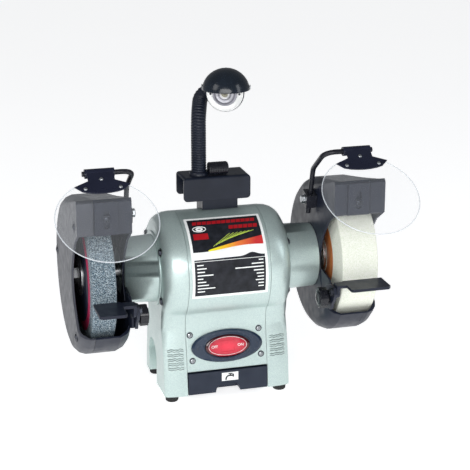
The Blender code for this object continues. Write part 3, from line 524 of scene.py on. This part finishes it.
# ------------------------------------------------------------- body fittings
IN_FRONT = -120.0
def panel_screws():
    """Four screws of the switch panel, each on a thin dark seat."""
    shape, seats = Shape(), Shape()
    for x, z in ((-40.2, 73.0), (-38.4, 45.0), (36.4, 73.4), (38.0, 45.2)):
        place, normal = surface("motor_housing", P(x, IN_FRONT, z), (0, 1, 0))
        seats.turn(place, normal, ((-0.1, 3.5), (0.12, 3.5), (0.2, 3.1), (0.2, 0.3)), 32)
        shape.screw(place + normal * 0.2 * MM, normal, 2.5, 1.3, "cross", 0.4 + 0.3 * x)
    shape.piece("panel_screws", SCREW_STEEL, "base", "bright_steel")
    seats.piece("panel_screw_seats", DARK_SCREW, "base", "bright_steel")


def bell_ribs(side, word):
    """Row of shallow wavy ribs moulded low on the front of an end bell, each with thin dark lines of
    painted shadow beside it.
    """
    raised, shade = Shape(), Shape()
    low = 38.0 if side < 0 else 43.0
    rows, pitch, points, sunk = 5, 4.9, 23, Vector((0, 0.15, 0)) * MM
    for row in range(rows):
        # Each rib gets two thinner dark lines, below and above it, as painted shadow.
        for shape, rise, radius in ((raised, 0.0, 0.9), (shade, -1.15, 0.5), (shade, 1.1, 0.3)):
            path = []
            for i in range(points):
                x = 47.8 + i * 0.8
                step = 0.9 if 8 <= (i + 5 * row) % 13 else 0.0
                z = low + row * pitch + rise + (0.3 * math.sin(x * 1.3 + row) + step * 0.5)
                place, _ = surface(word + "_end_bell", P(side * x, IN_FRONT, z), (0, 1, 0))
                path.append(place + sunk)
            shape.tube(path, lambda i, r=radius: r if 0 < i < points - 1 else r * 0.3, 8)
    raised.piece(word + "_bell_ribs", PAINT, "base", "silver_green_paint")
    shade.piece(word + "_bell_rib_painted_shadows", RIB_SHADOW_PAINT, "base", "silver_green_paint")


def through_bolts(side, word):
    """Motor through-bolts on the outer face of an end bell, each ringed by a dark disc that is painted
    shade of its counterbore.
    """
    heads, bores = Shape(), Shape()
    circle_r, outside = 45.5, 140.0
    for degrees in (38.0, 142.0, 214.0, 326.0):
        a = math.radians(degrees)
        start = P(side * outside, circle_r * math.cos(a), SHAFT_Z + circle_r * math.sin(a))
        place, normal = surface(word + "_end_bell", start, (-side, 0, 0))
        # The dark disc round each bolt is painted shade of its counterbore.
        bores.turn(place, normal, ((-0.4, 5.0), (0.15, 5.0), (0.3, 4.6), (0.05, 4.2), (0.0, 0.2)), 32)
        heads.turn(place, normal, ((0.0, 3.4), (1.7, 3.4), (2.2, 2.9), (2.2, 0.2)), 36, hexagon)
    heads.piece(word + "_through_bolts", DARK_SCREW, "base", "bright_steel")
    bores.piece(word + "_bolt_counterbore_shade", DARK_SCREW, "base", "bright_steel")


def neck_lip(side, word):
    """Raised lip where the neck leaves the bell."""
    shape = Shape()
    shape.turn(P(0, 0, SHAFT_Z), (side, 0, 0),
               ((69.3, 36.0), (69.5, 39.6), (70.3, 40.2), (71.2, 39.8), (71.6, 37.4), (71.6, 36.0)), 96)
    shape.piece(word + "_neck_lip", PAINT, "base", "silver_green_paint")


# ------------------------------------------------------------------- switch
def on_panel(u, v, w):
    """Point u to the right, v up and w out from the middle of the sloping switch panel, in mm."""
    return PANEL_AT + (Vector((1, 0, 0)) * u + PANEL_UP * v + PANEL_OUT * w) * MM


def rocker_height(u):
    """Height of the dished rocker above the panel at a distance u to the side."""
    return ROCKER_MIDDLE + ROCKER_DISH * (u / ROCKER_A) ** 2


def oval(a, b, w, count=72):
    """Closed oval on the panel, at a height w that is a number or a function of u."""
    ring = []
    for k in range(count + 1):
        t = k * math.tau / count
        u, v = a * math.cos(t), b * math.sin(t)
        ring.append(on_panel(u, v, w(u) if callable(w) else w))
    return ring


def mark(text, u, size):
    """White word lying on the rocker's dished face."""
    curve = bpy.data.curves.new("mark_" + text.lower(), "FONT")
    curve.body = text
    curve.size = size * MM
    curve.extrude = 0.06 * MM
    curve.align_x, curve.align_y = "CENTER", "CENTER"
    curve.materials.append(FILM_WHITE)
    obj = bpy.data.objects.new(curve.name, curve)
    bpy.context.scene.collection.objects.link(obj)
    slope = math.atan2(2 * ROCKER_DISH * u, ROCKER_A ** 2)
    right = (Vector((1, 0, 0)) * math.cos(slope) + PANEL_OUT * math.sin(slope)).normalized()
    out = right.cross(PANEL_UP).normalized()
    turn = Matrix((right, PANEL_UP, out)).transposed().to_4x4()
    obj.matrix_world = Matrix.Translation(on_panel(u, 0.0, rocker_height(u) + 0.12)) @ turn
    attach(obj, "switch_rocker")


def switch_trim():
    """Line, lamp frame and marks of the rocker, and the bezel's lip and screws."""
    shape = Shape()
    shape.tube(oval(21.0, 9.9, lambda u: rocker_height(u) + 0.02), 0.2, 8, False)
    shape.piece("rocker_white_line", FILM_WHITE, "switch_rocker", "clear_red_plastic")
    shape = Shape()
    a, b = 7.4, 6.0
    corners = ((-a, -b), (a, -b), (a, b), (-a, b), (-a, -b))
    shape.tube([on_panel(u, v, rocker_height(u) + 0.05) for u, v in corners], 0.22, 6, False)
    shape.piece("rocker_lamp_frame", ROCKER, "switch_rocker", "clear_red_plastic")
    shape = Shape()
    shape.tube(oval(26.2, 13.7, 3.2), 0.8, 12, False)
    shape.piece("bezel_inner_lip", BEZEL, "base", "dark_blue_plastic")
    shape = Shape()
    for u in (-32.6, 32.6):
        shape.screw(on_panel(u, 0.0, 2.6), PANEL_OUT, 2.0, 1.2, "cross", 0.3 * u)
    shape.piece("bezel_screws", DARK_SCREW, "base", "bright_steel")
    mark("OFF", -14.4, 4.2)
    mark("ON", 14.4, 4.2)


# -------------------------------------------------------------------- label
LABEL_R = 60.8
LABEL_TOP = math.radians(109.4)
INK_EDGE = 38.4


def on_label(u, v, lift):
    """Point on the wrapped label: u to the right, v down its curve from the top edge, in mm."""
    a = LABEL_TOP + v / LABEL_R
    r = LABEL_R + lift
    return P(u, r * math.cos(a), SHAFT_Z + r * math.sin(a))


def ink(shape, left, right, top, bottom, lift, across=2, down=2):
    """Patch of ink; each side is a number or a function of how far along the other way."""
    get = lambda value, t: value(t) if callable(value) else value
    rows = []
    for j in range(down + 1):
        t = j / down
        row = []
        for i in range(across + 1):
            s = i / across
            u = get(left, t) * (1 - s) + get(right, t) * s
            row.append(on_label(u, get(top, s) * (1 - t) + get(bottom, s) * t, lift))
        rows.append(row)
    shape.grid(rows)


def wave(s):
    """Lower edge of the label's upper dark panel."""
    return 42.5 + 1.3 * math.sin(0.6 + s * 5.6) - 3.0 * s


def label_art():
    """Generic label: dark panels, a flame, spark lines, red bars for a title and white bars for data."""
    dark = Shape()
    ink(dark, -INK_EDGE, INK_EDGE, 2.8, wave, 0.05, 40, 20)
    crest = lambda s: 51.5 - 1.2 * s - 3.2 * math.exp(-((s - 0.82) / 0.09) ** 2)
    ink(dark, -INK_EDGE, INK_EDGE, crest, 91.0, 0.05, 60, 24)
    dark.piece("label_black_panels", FILM_BLACK, "base", "label_film")
    flame = Shape()
    flame_top, flame_foot = lambda s: 42.0 - 12.5 * s ** 0.85, lambda s: wave(0.21 + 0.79 * s)
    ink(flame, -22.0, INK_EDGE, flame_top, flame_foot, 0.09, 40, 4)
    flame.piece("label_flame", sunrise(), "base", "label_film")
    red = Shape()
    lean = lambda base: (lambda t: base - 0.9 * t)
    for start, end, top in ((-33.0, 35.0, 6.2), (5.0, 36.0, 14.4)):
        x = start
        while x < end:
            width = min(4.6, end - x)
            ink(red, lean(x), lean(x + width), top, top + 4.6, 0.1, 2, 3)
            x += 5.3
    ink(red, -35.5, -19.5, 22.5, 29.5, 0.1, 6, 4)
    red.piece("label_red_blocks", FILM_RED, "base", "label_film")
    lime = Shape()
    for k in range(7):
        u0, v0 = -16.0 + 3.0 * k, 38.2 - 1.3 * k
        u1, v1 = 4.0 + 4.4 * k, 24.5 - 0.3 * k
        line = [on_label(u0 + (u1 - u0) * t / 6, v0 + (v1 - v0) * t / 6, 0.1) for t in range(7)]
        lime.tube(line, 0.26, 5)
    lime.piece("label_spark_lines", FILM_GREEN, "base", "label_film")
    white = Shape()
    left_margin, right_margin = -35.8, 36.2
    left_bars, right_bars = (7, 10, 8, 17, 6, 9, 12, 19, 8), (5, 13, 31, 11, 8, 7, 9, 6, 6)
    for row, (left_bar, right_bar) in enumerate(zip(left_bars, right_bars)):
        top = 56.5 + row * 3.6
        ink(white, left_margin, left_margin + left_bar, top, top + 1.15, 0.1, 8, 1)
        ink(white, right_margin - right_bar, right_margin, top - 1.2, top - 0.05, 0.1, 8, 1)
    ink(white, -INK_EDGE, INK_EDGE, 53.0, 53.5, 0.1, 30, 1)
    for radius, width in ((4.4, 0.5), (2.0, 0.9)):
        ring = []
        for k in range(49):
            a = k * math.tau / 48
            u, v = -27.5 + radius * 1.6 * math.cos(a), 16.6 + radius * 0.75 * math.sin(a)
            ring.append(on_label(u, v, 0.1))
        white.tube(ring, width, 6, False)
    white.piece("label_white_lines", FILM_WHITE, "base", "label_film")


# --------------------------------------------------------------- water tray
def tray_sticker():
    """White sticker with a small tap on it."""
    front = -49.6
    at = lambda x, z, w: P(2.0 + x, front - w, 24.6 + z)
    card = Shape()
    card.grid([[at(x, z, 0.12) for x in (-9.2, -4.6, 0.0, 4.6, 9.2)] for z in (-4.7, 0.0, 4.7)])
    card.piece("tray_sticker", FILM_WHITE, "water_tray", "black_plastic")
    tap = Shape()
    spout = ((-4.6, -3.4), (-4.3, -1.2), (-3.2, 0.4), (-1.4, 1.0), (3.6, 1.0))
    stem, handle = ((0.4, 1.0), (0.4, 3.0)), ((-1.8, 3.1), (2.6, 3.1))
    flange = ((3.6, -0.6), (3.6, 2.6))
    drip = ((-4.6, -3.9), (-4.7, -4.2))
    strokes = ((spout, 0.8, 8), (stem, 0.6, 8), (handle, 0.6, 8), (flange, 0.7, 8), (drip, 0.3, 6))
    for line, radius, count in strokes:
        tap.tube([at(x, z, 0.2) for x, z in line], radius, count)
    tap.piece("tray_tap_mark", FILM_BLACK, "water_tray", "black_plastic")


# ------------------------------------------------------------ wheels, guards
def blotter(name, side, x, r0, r1, mat):
    """Paper disc between a wheel and its flange."""
    shape = Shape()
    rows = []
    turns = [k * math.tau / 96 for k in range(96)]
    for r in (r0, r0 + 0.4, (r0 + r1) / 2, r1 - 0.4, r1):
        lift = 0.35 if r0 < r < r1 else 0.05
        rows.append([P(x + side * lift, r * math.cos(a), SHAFT_Z + r * math.sin(a)) for a in turns])
    shape.grid(rows, True)
    shape.piece(name, mat, "spindle", "label_film")


def pressed_washer():
    """Broad pressed washer between the outer flange and the left wheel's blotter, in black enamel as
    painted shade over the wheel's side.
    """
    shape = Shape()
    rim, hole = 50.0, 21.5
    profile = ((0.0, rim), (0.7, rim), (1.1, rim - 0.8), (1.1, 34.0), (0.8, 31.0), (0.8, hole), (0.0, hole))
    shape.turn(P(-149.4, 0, SHAFT_Z), (-1, 0, 0), profile, 96)
    # Its black enamel is painted shade: only a crescent of the blotter is left showing.
    shape.piece("left_pressed_washer", GUARD, "spindle", "bright_steel")


def cover_screws(side, word):
    """Screws of the outer cover, each in a shallow oval dish near the cover's edge."""
    heads, dishes = Shape(), Shape()
    for y, z in ((-60.0, 71.0), (-47.0, -52.0), (66.0, 8.0)):
        place, normal = surface(word + "_outer_cover", P(side * 200, y, SHAFT_Z + z), (-side, 0, 0))
        dishes.turn(place, normal, ((-0.3, 7.4), (0.25, 7.4), (0.5, 6.6), (0.1, 5.4), (0.0, 0.3)), 40,
                    lambda a: 1.0 - 0.28 * math.cos(a) ** 2)
        heads.screw(place, normal, 3.0, 1.6, "cross", 0.5)
    heads.piece(word + "_cover_screws", DARK_SCREW, "base", "bright_steel")
    dishes.piece(word + "_cover_dishes", GUARD_GREY if side < 0 else GUARD, "base", "black_paint")


def spark_screw(side, word):
    """Screw and washer that clamp the spark plate to the guard's nose through its slot."""
    shape, washer = Shape(), Shape()
    x, front = side * 133.25, -80.15
    place = P(x, front, SHAFT_Z + 82.0 - (0.0 if side < 0 else 3.0))
    washer.turn(place, (0, -1, 0), ((0.0, 4.6), (0.6, 4.6), (0.7, 4.4), (0.7, 0.2)), 32)
    shape.screw(place + Vector((0, -0.7, 0)) * MM, (0, -1, 0), 3.2, 1.4, "cross", 0.3)
    shape.piece(word + "_spark_screw", DARK_SCREW, "base", "bright_steel")
    washer.piece(word + "_spark_washer", GUARD, "base", "black_paint")


# --------------------------------------------------------------- tool rests
def rest_hardware(side, word):
    """Stud and cap of a rest's clamp knob, and the bolt that the table tilts on."""
    studs = Shape()
    x = side * 104.0
    knob_y, knob_z = -73.0, 114.0
    tilt_y, tilt_z = -86.0, 124.0
    studs.turn(P(x, knob_y, knob_z), (side, 0, 0), ((-0.2, 2.8), (5.4, 2.8), (5.6, 2.4), (5.6, 0.2)), 20)
    studs.piece(word + "_rest_stud", SCREW_STEEL, "base", "bright_steel")
    bolt = Shape()
    bolt.turn(P(x, tilt_y, tilt_z), (-side, 0, 0),
              ((0.0, 4.3), (2.6, 4.3), (3.1, 3.7), (3.1, 2.0), (2.2, 1.9), (2.2, 0.2)), 36, hexagon)
    bolt.turn(P(x, tilt_y, tilt_z), (-side, 0, 0), ((0.0, 5.2), (0.5, 5.2), (0.6, 4.9), (0.6, 1.0)), 32)
    bolt.piece(word + "_rest_tilt_bolt", DARK_SCREW, word + "_rest_arm", "bright_steel")
    cap = Shape()
    cap.turn(P(side * 93.0, knob_y, knob_z), (-side, 0, 0),
             ((-0.3, 7.8), (0.5, 7.8), (1.1, 7.0), (1.1, 4.2), (0.5, 3.8), (0.4, 0.2)), 40)
    cap.piece(word + "_rest_knob_cap", KNOB, word + "_rest_knob", "black_plastic")


# -------------------------------------------------------------- eye shields
SLOPE = math.radians(55.5)
DOWN = Vector((0.0, -math.sin(SLOPE), -math.cos(SLOPE)))
OUT = Vector((0.0, -math.cos(SLOPE), math.sin(SLOPE)))
LENS_R = 50.9
LENS_DROP = 62.5
LENS_SHIFT = -2.2


def shield_hardware(side, word):
    """Rivets and polished rim of an eye shield, and the bolt of its rod's clamp."""
    axis = P(side * 136.0, -60.0, 264.0 if side < 0 else 269.0)
    at = lambda u, v, w: axis + (Vector((1, 0, 0)) * u + DOWN * v + OUT * w) * MM
    rivets = Shape()
    for u, v in ((0.0, 11.5), (-17.5, 23.0), (17.5, 23.0)):
        rivets.turn(at(u, v, 4.25), OUT, ((0.0, 2.1), (0.5, 2.05), (1.0, 1.6), (1.3, 0.9), (1.38, 0.1)), 24)
    rivets.piece(word + "_shield_rivets", SCREW_STEEL, word + "_shield", "bright_steel")
    rim = Shape()
    turns = [k * math.tau / 120 for k in range(121)]
    ring = [at(LENS_SHIFT + LENS_R * math.cos(a), LENS_DROP + LENS_R * math.sin(a), 1.75) for a in turns]
    rim.tube(ring, 0.55, 8, False)
    rim.piece(word + "_shield_rim", CLEAR_EDGE, word + "_shield", "clear_polycarbonate")
    low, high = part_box(word + "_rod_clamp")
    centre = (low + high) / 2
    centre.x = low.x if side > 0 else high.x
    bolt = Shape()
    bolt.turn(centre, (-side, 0, 0), ((0.0, 5.4), (0.5, 5.4), (0.7, 5.1), (0.7, 1.0)), 32)
    bolt.turn(centre, (-side, 0, 0), ((0.6, 4.6), (3.4, 4.6), (3.9, 4.0), (3.9, 0.3)), 36, hexagon)
    bolt.piece(word + "_rod_clamp_bolt", SCREW_STEEL, "base", "bright_steel")


# --------------------------------------------------------------------- lamp
HOSE_X = -16.6
HOSE_Y = 8.0


def on_head(u, v, w):
    """Point u to the right, v forward and w up from the hood's pivot, in mm."""
    return HEAD + (HEAD_RIGHT * u + HEAD_FORWARD * v + Vector((0, 0, w))) * MM


def on_boss(distance):
    """Point on the line of the boss behind the lamp head, in mm from the pivot."""
    return on_head(-0.8 * distance, -0.6 * distance, -0.06 * distance)


def gooseneck():
    """Ribbed flexible hose in one run from the lamp box to the back of the lamp head."""
    corners = [P(HOSE_X, HOSE_Y, 237.4), P(HOSE_X, HOSE_Y, 299.0), on_boss(36.0), on_boss(19.9)]
    path = [corners[0]]
    for before, here, after, radius in zip(corners, corners[1:], corners[2:], (26.0, 10.0)):
        u, v = (before - here).normalized(), (after - here).normalized()
        half = u.angle(v) / 2
        reach = radius * MM / math.tan(half)
        middle = here + (u + v).normalized() * (radius * MM / math.sin(half))
        first, last = here + u * reach - middle, here + v * reach - middle
        axis = first.cross(last).normalized()
        path += [middle + Matrix.Rotation(first.angle(last) * k / 12, 3, axis) @ first for k in range(13)]
    path.append(corners[-1])
    lengths = [0.0]
    for a, b in zip(path, path[1:]):
        lengths.append(lengths[-1] + (b - a).length / MM)
    spacing = 0.45
    steps = int(lengths[-1] / spacing)
    fine, seg = [], 0
    for k in range(steps + 1):
        s = lengths[-1] * k / steps
        while seg < len(path) - 2 and lengths[seg + 1] < s:
            seg += 1
        t = (s - lengths[seg]) / (lengths[seg + 1] - lengths[seg])
        fine.append(path[seg].lerp(path[seg + 1], t))
    pitch, valley, crest = 2.7, 7.25, 0.92
    ribs = lambda i: valley + crest * abs(math.sin(math.pi * lengths[-1] * i / steps / pitch)) ** 0.55
    shape = Shape()
    shape.tube(fine, ribs, 28)
    hose = shape.piece("gooseneck_hose", PLASTIC, None, "black_plastic")
    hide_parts("gooseneck_lower", "gooseneck_upper")
    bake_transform(hose)


def lamp_trim():
    """Collar of the hose, screws and bead of the head, and cap and knurl of the clamp knob."""
    collar = Shape()
    collar.turn(P(HOSE_X, HOSE_Y, 237.0), (0, 0, 1), ((0.0, 10.4), (2.0, 10.2), (3.4, 9.2), (3.6, 8.3)), 40)
    collar.piece("hose_collar", PLASTIC, "base", "black_plastic")
    pins = Shape()
    for u in (-24.6, 24.6):
        out = HEAD_RIGHT * (1 if u > 0 else -1)
        pins.screw(on_head(u, 0.0, 6.0) + out * 0.6 * MM, out, 2.4, 1.0, "slot", 0.2)
    pins.piece("hood_pivot_screws", SCREW_STEEL, "lamp_hood", "bright_steel")
    lugs = Shape()
    for u in (-15.2, 15.2):
        lugs.screw(on_head(u, 12.35, 0.5), HEAD_FORWARD, 1.1, 0.7, "cross", 0.5)
    lugs.piece("reflector_screws", DARK_SCREW, "lamp_head", "bright_steel")
    rim = Shape()
    ring = []
    bead_r = 18.7
    for k in range(73):
        a = k * math.tau / 72
        ring.append(on_head(bead_r * math.cos(a), 12.3, LAMP_RISE + bead_r * math.sin(a)))
    rim.tube(ring, 0.55, 8, False)
    rim.piece("reflector_bead", DISH, "lamp_head", "white_reflector")
    knob_y, knob_z = 0.5, 244.3
    core = Shape()
    core.turn(P(4.5, knob_y, knob_z), (1, 0, 0),
              ((7.3, 6.2), (8.2, 6.2), (8.7, 5.6), (8.7, 3.0), (8.2, 2.8), (8.2, 0.2)), 36)
    core.piece("clamp_knob_cap", KNOB, "gooseneck_clamp_knob", "black_plastic")
    bands = Shape()
    for i in range(7):
        x = -6.4 + i * 2.7
        bands.turn(P(x, knob_y, knob_z), (1, 0, 0), ((-0.35, 6.6), (0.0, 7.05), (0.35, 6.6)), 56,
                   lambda a: 1.0 + 0.03 * math.cos(28 * a))
    bands.piece("clamp_knob_knurl", KNOB, "gooseneck_clamp_knob", "black_plastic")


panel_screws()
switch_trim()
label_art()
tray_sticker()
blotter("left_wheel_blotter", -1, -149.05, 24.0, 60.0, BLOTTER_RED)
blotter("right_wheel_blotter", -1, 119.45, 24.0, 43.0, BLOTTER_BROWN)
pressed_washer()
for side, word in SIDES:
    bell_ribs(side, word)
    through_bolts(side, word)
    neck_lip(side, word)
    cover_screws(side, word)
    spark_screw(side, word)
    rest_hardware(side, word)
    shield_hardware(side, word)
gooseneck()
lamp_trim()


# ------------------------------------------------ finished skins of the CAD nodes
def both(*words):
    return [side + "_" + word for _, side in SIDES for word in words]


dress(["motor_housing", "left_end_bell", "right_end_bell"], PAINT)
dress(both("inner_guard", "spark_arrester", "rest_arm", "tool_rest"), GUARD)
dress(["right_outer_cover", "base_plate"], GUARD)
dress(["left_outer_cover"], GUARD_GREY)
dress(both("shield_bracket"), BRACKET)
dress(both("shield_rod", "rod_clamp"), ROD)
dress(["spindle", "bearing_left", "bearing_right"], STEEL)
dress(both("inner_flange", "outer_flange", "wheel_nut"), STEEL)
dress(["stator_core", "rotor_core", "lamp_transformer"], CORE)
dress(["stator_winding_left", "stator_winding_right"], COPPER)
dress(["capacitor"], CAN)
dress(["lamp_pedestal", "lamp_box", "switch_body", "lamp_shell"], PLASTIC)
dress(["water_tray"], TRAY)
dress(both("rest_knob") + ["gooseneck_clamp_knob"], KNOB)
dress(["switch_bezel"], BEZEL)
dress(["lamp_hood"], HOOD)
dress(["foot_front_left", "foot_front_right", "foot_rear_left", "foot_rear_right", "cord_gland"], RUBBER)
dress(["left_wheel"], GREY_GRIT)
dress(["right_wheel"], WHITE_GRIT)
dress(["label_plate"], FILM_WHITE)
dress(both("eye_shield"), CLEAR)
dress(["lamp_reflector"], DISH)
dress(["lamp_bulb"], BULB)
dress(["switch_rocker"], ROCKER)


# --------------------------------------------------------- floor, light, camera
def studio():
    """Pale floor, even surrounding light, three softboxes and the camera."""
    floor = bpy.data.meshes.new("floor")
    half = 9.0
    corners = [(-half, -half, 0), (half, -half, 0), (half, half, 0), (-half, half, 0)]
    floor.from_pydata(corners, [], [(0, 1, 2, 3)])
    look = Look("pale_floor", (0.9, 0.9, 0.9), 0.75)
    look.tint(look.noise(1.2, 2.0), (0.9, 0.9, 0.905), (0.92, 0.92, 0.92))
    floor.materials.append(look.done(Emission_Color=(1.0, 1.0, 1.0, 1.0), Emission_Strength=0.7))
    ground = bpy.data.objects.new("floor", floor)
    bpy.context.scene.collection.objects.link(ground)

    world = bpy.data.worlds.new("studio")
    bpy.context.scene.world = world
    world.use_nodes = True
    back = world.node_tree.nodes["Background"]
    back.inputs["Color"].default_value = (0.93, 0.96, 1.0, 1.0)
    back.inputs["Strength"].default_value = 0.22

    def softbox(name, place, target, size, power, colour=(1, 1, 1)):
        data = bpy.data.lights.new(name, "AREA")
        data.shape = "RECTANGLE"
        data.size, data.size_y = size
        data.energy = power
        data.color = colour
        lamp = bpy.data.objects.new(name, data)
        lamp.location = place
        lamp.rotation_mode = "QUATERNION"
        lamp.rotation_quaternion = (Vector(target) - Vector(place)).to_track_quat("-Z", "Y")
        bpy.context.scene.collection.objects.link(lamp)

    shaft = (0, 0, 0.14)
    softbox("front_softbox", (-0.4, -1.5, 0.62), shaft, (1.4, 0.6), 16.0)
    softbox("left_softbox", (-1.4, -0.4, 1.1), shaft, (0.7, 0.7), 5.0)
    softbox("right_softbox", (1.3, -0.9, 0.9), shaft, (0.4, 0.9), 4.0, (0.93, 0.96, 1.0))

    yaw, pitch = math.radians(15.61), math.radians(17.45)
    ahead = Vector((math.sin(yaw) * math.cos(pitch), math.cos(yaw) * math.cos(pitch), -math.sin(pitch)))
    data = bpy.data.cameras.new("camera")
    data.lens = 105.48
    data.sensor_width = 36.0
    camera = bpy.data.objects.new("camera", data)
    aim, distance = Vector((0.02139, 0.03364, 0.1679)), 1.4965
    camera.location = aim - ahead * distance
    camera.rotation_mode = "QUATERNION"
    camera.rotation_quaternion = ahead.to_track_quat("-Z", "Y")
    bpy.context.scene.collection.objects.link(camera)
    bpy.context.scene.camera = camera
    bpy.context.scene.view_settings.view_transform = "Standard"


studio()
